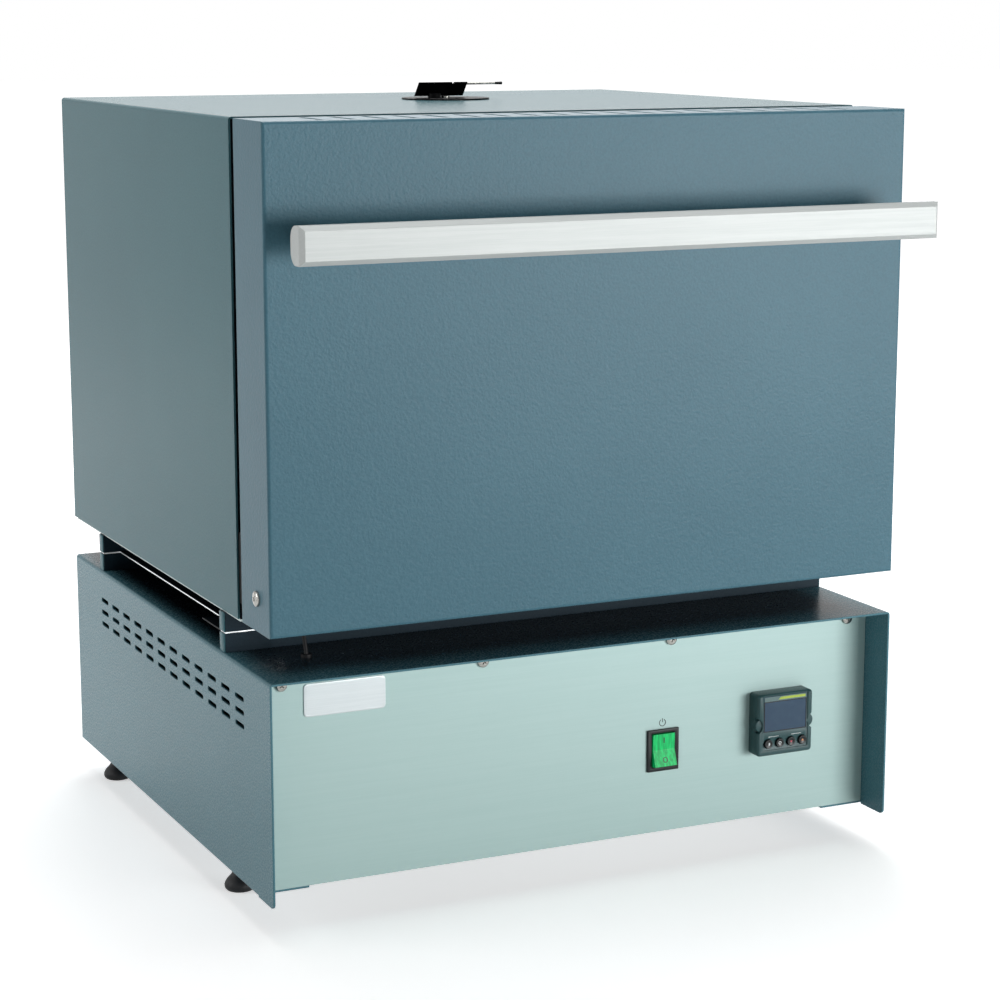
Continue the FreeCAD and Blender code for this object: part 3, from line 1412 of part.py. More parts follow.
def flueTube():
    body = newBody("flue_tube", ("0", DAMPER_BACK, CHAMBER_TOP))
    length = f"({CABINET_TOP} - easy_gap - {CHAMBER_TOP})"
    addDisc(body, ("0", "0", f"{length} / 2"), "flue_outside", length)
    cutDisc(body, ("0", "0", f"{length} / 2"), "flue_bore", length)


def damperDisc():
    body = newBody("damper_disc", ("damper_offset", DAMPER_BACK, CABINET_TOP))
    middle = "damper_sheet / 2"
    addDisc(body, ("0", "0", middle), "damper_round", "damper_sheet")
    cutDisc(body, ("0", "-damper_offset", middle), "port_bore", "damper_sheet")
    cutDisc(body, ("0", "0", middle), "pivot_shank + 2 * running_gap", "damper_sheet")


def damperPivot():
    body = newBody(
        "damper_pivot",
        ("damper_offset", DAMPER_BACK, f"{CABINET_TOP} + damper_sheet + running_gap"),
    )
    low = "-(damper_sheet + running_gap)"
    addTurned(
        body,
        ("0", "0", "0"),
        [
            ("0", "pivot_head_height"),
            ("pivot_head / 2", "pivot_head_height"),
            ("pivot_head / 2", "0"),
            ("pivot_shank / 2", "0"),
            ("pivot_shank / 2", f"{low} - pivot_reach"),
            ("0", f"{low} - pivot_reach"),
        ],
    )


def damperGrip():
    # A sloping grip plate on a short post, with a wire lever at its right end.
    body = newBody("damper_grip", ("damper_offset", DAMPER_BACK, f"{CABINET_TOP} + damper_sheet"))
    post = "grip_post_height / 2"
    addDisc(body, ("grip_post_place", "0", post), "grip_post", "grip_post_height")
    item = newSketch(body, "X", ("grip_place", "0", "0"))
    rise = "(grip_height / 2 * cos(grip_lean))"
    run = "(grip_height / 2 * sin(grip_lean))"
    thick = "(grip_sheet / cos(grip_lean))"
    outline(
        item,
        [
            (run, f"grip_level - {rise}"),
            (f"{run} + {thick}", f"grip_level - {rise}"),
            (f"-{run} + {thick}", f"grip_level + {rise}"),
            (f"-{run}", f"grip_level + {rise}"),
        ],
    )
    extrude(body, "Pad", item, "grip_width")
    item = newSketch(body, "Y", ("grip_notch_place", "0", f"grip_level + {rise}"))
    outline(item, [("0", "-grip_notch"), ("grip_notch", "grip_sheet"), ("-grip_notch", "grip_sheet")])
    extrude(body, "Pocket", item, "2 * grip_height")
    up = f"(0.75 * {rise})"
    back = f"(-0.75 * {run} + {thick} / 2)"
    addDisc(
        body,
        ("grip_place + (grip_width + lever_reach - joined) / 2", back, f"grip_level + {up}"),
        "lever_round",
        "lever_reach + joined",
        "X",
    )


# ---- door ----


def doorPan():
    body = newBody("door_pan", ("0", "door_front", DOOR_LOW))
    addBlock(body, ("0", "door_depth / 2", "door_height / 2"), ("door_width", "door_depth", "door_height"))
    dress(body, "Fillet", "door_bend", lambda edge: near(edge.BoundBox.YMax, 0))
    cutBlock(
        body,
        ("0", "(door_depth + door_sheet) / 2", "door_height / 2"),
        ("door_width - 2 * door_sheet", "door_depth - door_sheet", "door_height - 2 * door_sheet"),
        "Y",
    )
    item = newSketch(
        body, "Z", (
            "-(door_vents - 1) * door_vent_pitch / 2",
            "door_vent_back",
            "door_height - door_sheet / 2",
        )
    )
    rectangle(item, "door_vent_width", "door_vent_length")
    vent = extrude(body, "Pocket", item, "3 * door_sheet")
    repeat(body, [vent], "X", "door_vents", "door_vent_pitch")
    cutDisc(body, ("0", "pivot_back", "pivot_up"), "hinge_shank + 2 * running_gap", "door_width", "X")
    stud = cutDisc(
        body,
        ("-post_place", "door_sheet / 2", "bar_level"),
        "post_stud + 2 * running_gap",
        "3 * door_sheet",
        "Y",
    )
    repeat(body, [stud], "X", 2, "2 * post_place")
    start = "(pivot_back - hinge_nose - joined)"
    relief = cutBlock(
        body,
        ("(door_width - door_relief) / 2 - door_sheet", f"({start} + door_depth) / 2", "door_sheet / 2"),
        ("door_relief", f"door_depth - {start}", "3 * door_sheet"),
    )
    mirror(body, [relief], "X")


def doorLiner():
    # The rear plate of the door, with flanges turned forwards against the inside of the pan.
    width, height = "(door_width - 2 * door_sheet)", "(door_height - 2 * door_sheet)"
    body = newBody("door_liner", ("0", DOOR_REAR, f"{DOOR_LOW} + door_sheet"))
    middle = f"{height} / 2"
    addBlock(body, ("0", "-liner_flange / 2", middle), (width, "liner_flange", height), "Y")
    cutBlock(
        body,
        ("0", "-(liner_flange + liner_sheet) / 2", middle),
        (f"{width} - 2 * liner_sheet", "liner_flange - liner_sheet", f"{height} - 2 * liner_sheet"),
        "Y",
    )
    cutBlock(
        body,
        ("0", "-liner_flange / 2", f"{CHAMBER_MID} - {DOOR_LOW} - door_sheet"),
        ("seat_width + 2 * running_gap", "liner_flange", "seat_height + 2 * running_gap"),
        "Y",
    )
    notch = cutBlock(
        body,
        (f"({width} - door_relief) / 2", "-liner_flange / 2", "door_relief_height / 2"),
        ("door_relief", "liner_flange", "door_relief_height"),
        "Y",
    )
    mirror(body, [notch], "X")


def doorInsulation():
    # One block: a body inside the door, a seat through the liner and a plug for the mouth.
    body = newBody("door_insulation", ("0", DOOR_REAR, CHAMBER_MID))
    depth = "(door_depth - door_sheet - liner_sheet - block_air)"
    seat = f"({SEAL_FACE} - {DOOR_REAR})"
    addBlock(body, ("0", f"-liner_sheet - {depth} / 2", "0"), ("block_width", depth, "block_height"), "Y")
    addBlock(
        body,
        ("0", f"({seat} - liner_sheet - joined) / 2", "0"),
        ("seat_width", f"{seat} + liner_sheet + joined", "seat_height"),
        "Y",
    )
    addBlock(
        body,
        ("0", f"{seat} + (plug_reach - joined) / 2", "0"),
        ("chamber_width - 2 * plug_clearance", "plug_reach + joined", "chamber_height - 2 * plug_clearance"),
        "Y",
    )
    pad = addBlock(
        body,
        (
            "-(block_width - pad_width) / 2",
            f"-liner_sheet - {depth} + (joined - block_air) / 2",
            "-(block_height - pad_width) / 2",
        ),
        ("pad_width", "block_air + joined", "pad_width"),
        "Y",
    )
    repeatGrid(body, [pad], "X", 2, "block_width - pad_width", "Z", 2, "block_height - pad_width")


def doorGasket():
    body = newBody("door_gasket", ("0", f"{CABINET_FRONT} - gasket_sheet / 2", CHAMBER_MID))
    addBlock(body, ("0", "0", "0"), ("seat_width", "gasket_sheet", "seat_height"), "Y")
    cutBlock(
        body,
        ("0", "0", "0"),
        ("seat_width - 2 * gasket_width", "gasket_sheet", "seat_height - 2 * gasket_width"),
        "Y",
    )


def hingeBracket(label, side):
    # A foot on the cabinet front and a plate forward to the pivot, with a curved slot for the stop pin.
    inner = "(door_width / 2 - door_sheet - hinge_side_gap - hinge_plate)"
    body = newBody(label, (f"{side} * {inner}", PIVOT_BACK, PIVOT_LEVEL))
    front = f"({CABINET_FRONT} - {PIVOT_BACK})"
    height = "(hinge_nose + hinge_rise)"
    level = "(hinge_rise - hinge_nose) / 2"
    addBlock(
        body,
        (f"{side} * hinge_plate / 2", f"({front} - hinge_nose) / 2", level),
        ("hinge_plate", f"{front} + hinge_nose", height),
        "X",
    )
    dress(
        body,
        "Fillet",
        "hinge_round",
        lambda edge: runsAlong(edge, "X") and near(edge.BoundBox.YMin, -size("hinge_nose")),
    )
    addBlock(
        body,
        (f"{side} * (hinge_plate - hinge_foot) / 2", f"{front} - hinge_plate / 2", level),
        ("hinge_foot", "hinge_plate", height),
        "X",
    )
    cutDisc(
        body,
        (f"{side} * hinge_plate / 2", "0", "0"),
        "hinge_shank + 2 * running_gap",
        "hinge_plate",
        "X",
    )
    item = newSketch(body, "X", (f"{side} * hinge_plate / 2", "0", "0"))
    arcSlot(item, "stop_radius", "stop_round + 2 * stop_gap", "stop_start", "door_opening")
    extrude(body, "Pocket", item, "hinge_plate")


def arcSlot(item, radius, width, start, sweep):
    # A slot along an arc about the sketch origin, from start through sweep degrees.
    up = FreeCAD.Vector(0, 0, 1)
    centre = FreeCAD.Vector(0, 0, 0)
    reach, half = size(radius), size("stop_round") / 2
    first, last = math.radians(size(start)), math.radians(size(start) + size(sweep))
    outer = Part.ArcOfCircle(Part.Circle(centre, up, reach + half), first, last)
    inner = Part.ArcOfCircle(Part.Circle(centre, up, reach - half), first, last)
    ends = []
    for angle in (first, last):
        spot = FreeCAD.Vector(reach * math.cos(angle), reach * math.sin(angle), 0)
        low = angle + math.pi if angle == first else angle
        ends.append(Part.ArcOfCircle(Part.Circle(spot, up, half), low, low + math.pi))
    item.addGeometry([outer, ends[1], inner, ends[0]], False)
    for number in (0, 2):
        item.addConstraint(Sketcher.Constraint("Coincident", number, 3, -1, 1))
    for one, end, two, begin in ((0, 2, 1, 1), (1, 2, 2, 2), (2, 1, 3, 1), (3, 2, 0, 1)):
        item.addConstraint(Sketcher.Constraint("Tangent", one, end, two, begin))
    tip = item.addConstraint(Sketcher.Constraint("Radius", 3, 3.0))
    bind(item, f"Constraints[{tip}]", f"({width}) / 2")
    for number, angle in ((3, start), (1, f"({start} + {sweep})")):
        for kind, turn in (("DistanceX", "cos"), ("DistanceY", "sin")):
            if number == 1 and kind == "DistanceY":
                continue
            value = item.addConstraint(Sketcher.Constraint(kind, -1, 1, number, 3, 5.0))
            bind(item, f"Constraints[{value}]", f"{radius} * {turn}({angle})")


def pivotScrews():
    # Shoulder screws that the door turns on: head outside the door, nut inside the hinge plate.
    body = newBody("pivot_screws", ("0", PIVOT_BACK, PIVOT_LEVEL))
    outside = "(door_width / 2 + easy_gap)"
    inside = "(door_width / 2 - door_sheet - hinge_side_gap - hinge_plate)"
    long = f"({outside} - {inside} + hinge_nut_height + joined)"
    head = addDisc(
        body, (f"{outside} + hinge_head_height / 2", "0", "0"), "hinge_head", "hinge_head_height", "X"
    )
    shank = addDisc(body, (f"{outside} - {long} / 2", "0", "0"), "hinge_shank", long, "X")
    nut = addDisc(body, (f"{inside} - hinge_nut_height / 2", "0", "0"), "hinge_nut", "hinge_nut_height", "X")
    mirror(body, [head, shank, nut], "X")


def stopPins():
    # Pins on the inner face of each door flange that run in the curved slots of the hinge plates.
    body = newBody("stop_pins", ("0", PIVOT_BACK, PIVOT_LEVEL))
    inside = "(door_width / 2 - door_sheet)"
    length = "(hinge_side_gap + hinge_plate + easy_gap)"
    pin = addDisc(
        body,
        (f"{inside} - {length} / 2", "stop_radius * cos(stop_start)", "stop_radius * sin(stop_start)"),
        "stop_round",
        length,
        "X",
    )
    mirror(body, [pin], "X")


def handleBar():
    body = newBody("handle_bar", ("0", "door_front - bar_stand", f"{DOOR_LOW} + bar_level"))
    addBlock(body, ("0", "bar_depth / 2", "0"), ("bar_length", "bar_depth", "bar_height"), "X")
    dress(
        body,
        "Fillet",
        "bar_back_round",
        lambda edge: runsAlong(edge, "X") and near(edge.BoundBox.YMin, size("bar_depth")),
    )
    dress(body, "Chamfer", "bar_chamfer", lambda edge: near(edge.BoundBox.YMax, 0))
    cutBlock(
        body,
        ("0", "bar_front_wall + bar_hollow_depth / 2", "0"),
        ("bar_length - 2 * bar_end", "bar_hollow_depth", "bar_hollow_height"),
        "X",
    )
    socket = cutDisc(
        body,
        ("-post_place", "bar_depth - post_socket / 2", "0"),
        "post_round + 2 * running_gap",
        "post_socket",
        "Y",
    )
    repeat(body, [socket], "X", 2, "2 * post_place")


def handlePosts():
    # Two posts, each with a stud through the door face and a nut behind it.
    body = newBody("handle_posts", ("0", "door_front", f"{DOOR_LOW} + bar_level"))
    length = "(bar_stand - bar_depth + post_socket)"
    post = addDisc(body, ("-post_place", f"-{length} / 2", "0"), "post_round", length, "Y")
    stud = addDisc(
        body,
        ("-post_place", "(door_sheet + post_stud_reach - joined) / 2", "0"),
        "post_stud",
        "door_sheet + post_stud_reach + joined",
        "Y",
    )
    nut = addDisc(
        body,
        ("-post_place", "door_sheet + post_nut_height / 2", "0"),
        "post_nut",
        "post_nut_height",
        "Y",
    )
    repeat(body, [post, stud, nut], "X", 2, "2 * post_place")


# ---- door switch ----


def doorSwitch():
    body = newBody("door_switch", ("door_switch_place", PACK_FRONT, f"{PAN_TOP} + door_switch_level"))
    addBlock(
        body,
        ("0", "switch_box_depth / 2", "0"),
        ("switch_box_width", "switch_box_depth", "switch_box_height"),
    )
    cutDisc(
        body,
        ("0", "(plunger_tail + easy_gap) / 2", "0"),
        "plunger_round + 2 * running_gap",
        "plunger_tail + easy_gap",
        "Y",
    )


def switchPlunger():
    # Pressed in by the door liner; it springs forward when the door opens.
    body = newBody("door_switch_plunger", ("door_switch_place", PACK_FRONT, f"{PAN_TOP} + door_switch_level"))
    front = "(cabinet_sheet + door_gap)"
    addDisc(
        body,
        ("0", f"(plunger_tail - {front}) / 2", "0"),
        "plunger_round",
        f"plunger_tail + {front}",
        "Y",
    )


def switchLead():
    # From inside the base, leaning back under the cabinet, then straight up to the door switch.
    low = "(-lead_below)"
    pan = f"({PAN_LOW} - {BASE_TOP})"
    top = f"({PAN_TOP} + door_switch_level - switch_box_height / 2 - {BASE_TOP})"
    body = newBody("switch_lead", ("lead_place", f"{CABINET_FRONT} + lead_back", BASE_TOP))
    path = newSketch(body, "X", ("0", "0", "0"))
    points = [("-lead_lean", low), ("-lead_lean", "grommet_height"), ("0", pan), ("0", top)]
    lean, rise = size("lead_lean"), size("lead_below")
    spots = [FreeCAD.Vector(across, rise * step, 0) for step, across in enumerate((-lean, -lean, 0, 0))]
    for index in range(3):
        path.addGeometry(Part.LineSegment(spots[index], spots[index + 1]), False)
    for index in range(2):
        path.addConstraint(Sketcher.Constraint("Coincident", index, 2, index + 1, 1))
    for index, (across, up) in enumerate(points):
        line, end = (index, 1) if index < 3 else (2, 2)
        for kind, axis, formula in (("DistanceX", -2, across), ("DistanceY", -1, up)):
            if formula == "0":
                path.addConstraint(Sketcher.Constraint("PointOnObject", line, end, axis))
            else:
                number = path.addConstraint(Sketcher.Constraint(kind, -1, 1, line, end, 5.0))
                bind(path, f"Constraints[{number}]", formula)
    profile = newSketch(body, "Z", ("0", "-lead_lean", low))
    circle(profile, "lead_round")
    pipe = body.newObject("PartDesign::AdditivePipe", "AdditivePipe")
    pipe.Profile = profile
    pipe.Spine = (path, ["Edge1", "Edge2", "Edge3"])
    pipe.Transition = "Round corner"
    path.Visibility = False
    profile.Visibility = False
    body.Tip = pipe
    addDisc(body, ("0", "-lead_lean", "grommet_height / 2"), "grommet_round", "grommet_height")


fillSheet()
baseCover()
baseFloor()
controlPanel()
baseBackPanel()
panelScrews()
badgePlate()
switchFrame()
powerRocker()
controllerCase()
controllerScreen()
controllerButtons()
feet()
heatSink()
relay()
terminalBlock()
cordGland()
crossChannels()
heatShield()
channelBolts()
cabinetWrapper()
cabinetFloorPan()
cabinetBackPanel()
rearScrews()
mouthFrame()
insulationFloor()
insulationRoof()
flueBlock()
insulationSide("insulation_left", -1)
insulationSide("insulation_right", 1)
insulationBack()
heatingElement("heating_element_left", -1)
heatingElement("heating_element_right", 1)
hearthPlate()
thermocouple()
flueTube()
damperDisc()
damperPivot()
damperGrip()
doorPan()
doorLiner()
doorInsulation()
doorGasket()
hingeBracket("hinge_bracket_left", -1)
hingeBracket("hinge_bracket_right", 1)
pivotScrews()
stopPins()
handleBar()
handlePosts()
doorSwitch()
switchPlunger()
switchLead()
doc.recompute()

faults = []
for item in doc.Objects:
    if "Invalid" in item.State or "Error" in item.State:
        owner = item.getParentGeoFeatureGroup()
        faults.append(f"{item.Name} in {owner.Label if owner else 'the document'}: {item.getStatusString()}")
for part in parts:
    if part.Shape.isNull() or not part.Shape.isValid() or not part.Shape.Solids:
        faults.append(f"{part.Label}: no valid solid")
if faults:
    raise RuntimeError("\n".join(faults))

os.makedirs("parts", exist_ok=True)
for part in parts:
    part.Shape.exportStep(f"parts/{part.Label}.step")
    print(part.Label, len(part.Shape.Solids), round(part.Shape.Volume, 1), part.Shape.BoundBox)
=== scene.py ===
import bpy
import bmesh
import json
import math
from mathutils import Matrix, Vector

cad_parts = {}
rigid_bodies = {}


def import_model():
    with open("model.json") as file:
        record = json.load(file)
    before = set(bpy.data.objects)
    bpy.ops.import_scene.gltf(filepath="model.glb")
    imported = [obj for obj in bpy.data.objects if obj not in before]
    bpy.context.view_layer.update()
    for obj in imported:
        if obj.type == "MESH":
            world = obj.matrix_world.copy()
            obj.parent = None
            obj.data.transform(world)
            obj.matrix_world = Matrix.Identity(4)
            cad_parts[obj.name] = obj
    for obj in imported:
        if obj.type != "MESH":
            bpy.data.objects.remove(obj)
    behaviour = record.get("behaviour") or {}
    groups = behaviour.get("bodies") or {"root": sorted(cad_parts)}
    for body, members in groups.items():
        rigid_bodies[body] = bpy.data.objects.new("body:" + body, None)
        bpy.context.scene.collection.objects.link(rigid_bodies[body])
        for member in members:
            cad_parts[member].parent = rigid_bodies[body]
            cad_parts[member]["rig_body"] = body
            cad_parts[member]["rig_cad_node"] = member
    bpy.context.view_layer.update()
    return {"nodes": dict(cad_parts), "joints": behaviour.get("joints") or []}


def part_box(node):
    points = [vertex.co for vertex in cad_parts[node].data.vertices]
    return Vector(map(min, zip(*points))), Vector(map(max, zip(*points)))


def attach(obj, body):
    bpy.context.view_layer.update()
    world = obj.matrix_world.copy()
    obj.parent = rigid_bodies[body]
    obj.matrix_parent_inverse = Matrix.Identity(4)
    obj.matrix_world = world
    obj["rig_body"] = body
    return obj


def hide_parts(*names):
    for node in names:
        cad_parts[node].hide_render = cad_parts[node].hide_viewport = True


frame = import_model()
node = frame["nodes"]
mm = 0.001
toFront, toBack, toRight, upwards = (0, -1, 0), (0, 1, 0), (1, 0, 0), (0, 0, 1)
print("frame loaded:", len(node), "solids")


def inMetres(**sizes):
    # sizes in millimetres
    return {name: size * mm for name, size in sizes.items()}


def pickNothing():
    # also leaves edit mode
    if bpy.context.object and bpy.context.object.mode != "OBJECT":
        bpy.ops.object.mode_set(mode="OBJECT")
    bpy.ops.object.select_all(action="DESELECT")


def work(piece):
    # makes one piece the only one picked, for the operators that follow
    pickNothing()
    piece.select_set(True)
    bpy.context.view_layer.objects.active = piece


def editMode(piece, test=None, kind="FACE"):
    # picks the faces, edges or points for which the test holds, or all of them without a test
    work(piece)
    bpy.ops.object.mode_set(mode="EDIT")
    bpy.ops.mesh.select_mode(type=kind)
    bpy.ops.mesh.select_all(action="DESELECT" if test else "SELECT")
    if test:
        form = bmesh.from_edit_mesh(piece.data)
        for item in {"FACE": form.faces, "EDGE": form.edges, "VERT": form.verts}[kind]:
            if test(item):
                item.select_set(True)
        form.select_flush_mode()
        bmesh.update_edit_mesh(piece.data)


def settle(name):
    # names the piece that an operator has just added, and puts its place and turn into its mesh
    piece = bpy.context.object
    piece.name = name
    work(piece)
    bpy.ops.object.transform_apply(location=True, rotation=True, scale=True)
    return piece


def addBox(name, low, high):
    pickNothing()
    middle = (Vector(low) + Vector(high)) / 2
    bpy.ops.mesh.primitive_cube_add(size=1, location=middle, scale=Vector(high) - Vector(low))
    return settle(name)


def facing(direction):
    # turns +Z to the direction
    return Vector(direction).to_track_quat("Z", "Y").to_matrix().to_4x4()


def addPost(name, spot, radius, height, direction=upwards, sides=32):
    # a round bar that starts at the spot and runs along the direction
    pickNothing()
    middle = (0, 0, height / 2)
    bpy.ops.mesh.primitive_cylinder_add(vertices=sides, radius=radius, depth=height, location=middle)
    piece = settle(name)
    piece.data.transform(Matrix.Translation(spot) @ facing(direction))
    return piece


def modify(piece, kind, **settings):
    work(piece)
    modifier = piece.modifiers.new(kind.title(), kind)
    for key, value in settings.items():
        setattr(modifier, key, value)
    bpy.ops.object.modifier_apply(modifier=modifier.name)


def cutWith(piece, cutter):
    modify(piece, "BOOLEAN", object=cutter, operation="DIFFERENCE")
    bpy.data.objects.remove(cutter)


def roundEdges(piece, width, steps=2, angle=30):
    modify(piece, "BEVEL", width=width, segments=steps, angle_limit=math.radians(angle), limit_method="ANGLE")


def roundCorners(piece, width, steps):
    # rounds the four edges of a box that run from front to back
    editMode(piece, lambda edge: abs(edge.verts[0].co.y - edge.verts[1].co.y) > 0.1 * mm, "EDGE")
    bpy.ops.mesh.bevel(offset=width, segments=steps, affect="EDGES")


def insetFront(piece, *steps):
    # each step insets the face on the front by a width, and moves it by a depth
    editMode(piece, lambda face: face.normal.y < -0.9)
    for width, depth in steps:
        bpy.ops.mesh.inset(thickness=width, depth=depth)


def smooth(piece, angle=35):
    work(piece)
    bpy.ops.object.shade_smooth_by_angle(angle=math.radians(angle))


def copyOf(piece, name):
    work(piece)
    bpy.ops.object.duplicate(linked=False)
    twin = bpy.context.object
    twin.name = name
    return twin


def standCopy(pattern, name, spot, direction=upwards, twist=0.0):
    piece = copyOf(pattern, name)
    piece.data.transform(Matrix.Translation(spot) @ facing(direction) @ Matrix.Rotation(twist, 4, "Z"))
    return piece


def joinAll(pieces, name):
    work(pieces[0])
    for piece in pieces[1:]:
        piece.select_set(True)
    bpy.ops.object.join()
    joined = bpy.context.object
    joined.name = name
    return joined


def placeOf(name):
    # lowest corner, highest corner and middle of a solid at rest
    low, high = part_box(name)
    return low, high, (low + high) / 2


def dress(piece, finish):
    piece.data.materials.clear()
    piece.data.materials.append(finish)


def seat(piece, finish, stands=(), body="furnace"):
    # the last step of each piece: finish, the solids that it stands for, and body
    pickNothing()
    dress(piece, finishes[finish])
    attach(piece, body)
    if stands:
        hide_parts(*stands)


def tint(*seen):
    # a colour as it is seen, 0 to 255, as the linear colour that a socket takes
    parts = [value / 255 for value in seen]
    return (*[part / 12.92 if part <= 0.04045 else ((part + 0.055) / 1.055) ** 2.4 for part in parts], 1)


def feed(tree, value, socket):
    # a socket takes what another node puts out, a colour as it is seen, or a plain value
    if isinstance(value, bpy.types.NodeSocket):
        tree.links.new(value, socket)
    else:
        socket.default_value = tint(*value) if socket.type == "RGBA" else value


def fill(tree, made, **values):
    for key, value in values.items():
        feed(tree, value, made.inputs[key.replace("_", " ")])


def addNode(tree, kind, *values, **settings):
    # plain values go to the sockets in order, named ones to the node's own settings or sockets
    made = tree.nodes.new("ShaderNode" + kind)
    for key, value in settings.items():
        if hasattr(made, key):
            setattr(made, key, value)
        else:
            fill(tree, made, **{key: value})
    for value, socket in zip(values, made.inputs):
        feed(tree, value, socket)
    return made


def mathNode(tree, operation, *values, clamp=False):
    return addNode(tree, "Math", *values, operation=operation, use_clamp=clamp).outputs[0]


def times(tree, first, second):
    return mathNode(tree, "MULTIPLY", first, second)


def noise(tree, vector, scale, detail, rough=0.5, bent=0.0):
    made = addNode(tree, "TexNoise", vector, Scale=scale, Detail=detail, Roughness=rough, Distortion=bent)
    return made.outputs[0]


def spread(tree, value, fromLow, fromHigh, toLow=0.0, toHigh=1.0, way="SMOOTHSTEP"):
    made = addNode(tree, "MapRange", value, fromLow, fromHigh, toLow, toHigh, interpolation_type=way)
    return made.outputs[0]


def blendTones(tree, factor, first, second):
    made = addNode(tree, "Mix", data_type="RGBA")
    for place, value in zip((0, 6, 7), (factor, first, second)):
        feed(tree, value, made.inputs[place])
    return made.outputs[2]


def bump(tree, height, depth, normal):
    return addNode(tree, "Bump", Height=height, Distance=depth, Normal=normal).outputs[0]


def newGroup(name, values, outputs):
    # an effect is given the vector that its pattern follows, and numbers
    group = bpy.data.node_groups.new(name, "ShaderNodeTree")
    group.interface.new_socket(name="Vector", in_out="INPUT", socket_type="NodeSocketVector")
    for label, value in values.items():
        socket = group.interface.new_socket(name=label, in_out="INPUT", socket_type="NodeSocketFloat")
        socket.default_value = value
    for label in outputs:
        kind = "NodeSocketVector" if label == "Normal" else "NodeSocketFloat"
        group.interface.new_socket(name=label, in_out="OUTPUT", socket_type=kind)
    return group, group.nodes.new("NodeGroupInput").outputs, group.nodes.new("NodeGroupOutput")


def makeEdgeGroup():
    # rounded edges for light to catch, and a broken mask of where those edges are rubbed
    group, given, out = newGroup("roundedEdges", {"Radius": 0.0006, "Patches": 60.0}, ("Normal", "Rubbed"))
    rounded = addNode(group, "Bevel", samples=4, Radius=given["Radius"]).outputs["Normal"]
    flat = addNode(group, "NewGeometry").outputs["Normal"]
    match = addNode(group, "VectorMath", rounded, flat, operation="DOT_PRODUCT")
    edge = spread(group, match.outputs["Value"], 0.99, 0.86)
    broken = spread(group, noise(group, given["Vector"], given["Patches"], 4.0, 0.6), 0.4, 0.62)
    fill(group, out, Normal=rounded, Rubbed=times(group, edge, broken))
    return group


def makeCoatGroup():
    # a coat with fine pebbles, whose tone also drifts slowly
    group, given, out = newGroup("powderCoat", {"Pebbles": 700.0, "Drift": 3.0}, ("Height", "Tone", "Sheen"))
    vector, scale = given["Vector"], given["Pebbles"]
    pebbles = noise(group, vector, scale, 2.0, 0.45)
    wider = times(group, scale, 0.6)
    cells = addNode(group, "TexVoronoi", vector, feature="SMOOTH_F1", Scale=wider, Smoothness=0.9)
    height = mathNode(group, "ADD", pebbles, times(group, cells.outputs["Distance"], 0.7))
    drift = spread(group, noise(group, vector, given["Drift"], 3.0, 0.55), 0.3, 0.7)
    grain = spread(group, pebbles, 0.3, 0.7)
    tone = mathNode(group, "ADD", times(group, grain, 0.45), times(group, drift, 0.55))
    fill(group, out, Height=height, Tone=tone, Sheen=grain)
    return group


def makeBrushGroup():
    # brushed metal: long hair lines along X of the vector that it is given
    group, given, out = newGroup("brushedLines", {"Lines": 1500.0}, ("Height", "Tone", "Sheen"))
    stretched = addNode(group, "VectorMath", given["Vector"], (0.012, 1, 1), operation="MULTIPLY").outputs[0]
    fine = noise(group, stretched, given["Lines"], 3.0, 0.7)
    broad = noise(group, stretched, times(group, given["Lines"], 0.22), 2.0)
    both = mathNode(group, "ADD", times(group, fine, 0.6), times(group, broad, 0.4))
    tone = spread(group, both, 0.35, 0.65)
    fill(group, out, Height=both, Tone=tone, Sheen=tone)
    return group


def makeFibreGroup():
    # pressed ceramic fibre: matted strands with small pits
    group, given, out = newGroup("mattedFibre", {"Strands": 260.0}, ("Height", "Tone"))
    vector, scale = given["Vector"], given["Strands"]
    bend = noise(group, vector, 90.0, 2.0).node.outputs["Color"]
    share = (0.012, 0.012, 0.012)
    bent = addNode(group, "VectorMath", bend, share, vector, operation="MULTIPLY_ADD").outputs[0]
    strands = noise(group, bent, scale, 6.0, 0.75, 1.2)
    pits = addNode(group, "TexVoronoi", bent, feature="F1", Scale=times(group, scale, 0.5))
    pit = spread(group, pits.outputs["Distance"], 0.0, 0.35)
    tone = times(group, spread(group, strands, 0.3, 0.72), pit)
    fill(group, out, Height=times(group, strands, pit), Tone=tone)
    return group


edgeGroup = makeEdgeGroup()
coatGroup = makeCoatGroup()
brushGroup = makeBrushGroup()
fibreGroup = makeFibreGroup()
print("effects ready")


finishes = {}


def treeOf(name):
    # the node tree of a finish, and the shader in it
    tree = finishes[name].node_tree
    return tree, next(made for made in tree.nodes if made.type == "BSDF_PRINCIPLED")


def newFinish(name, **values):
    finishes[name] = bpy.data.materials.new(name)
    finishes[name].use_nodes = True
    tree, shader = treeOf(name)
    fill(tree, shader, **values)
    return tree, shader


def useGroup(tree, group, vector, **values):
    made = tree.nodes.new("ShaderNodeGroup")
    made.node_tree = group
    fill(tree, made, Vector=vector, **values)
    return made.outputs


def placed(tree, turn=(0, 0, 0), stretch=(1, 1, 1)):
    # Object coordinates through a Mapping node, so that a pattern can be turned or stretched
    where = addNode(tree, "TexCoord").outputs["Object"]
    return addNode(tree, "Mapping", where, Rotation=turn, Scale=stretch).outputs[0]


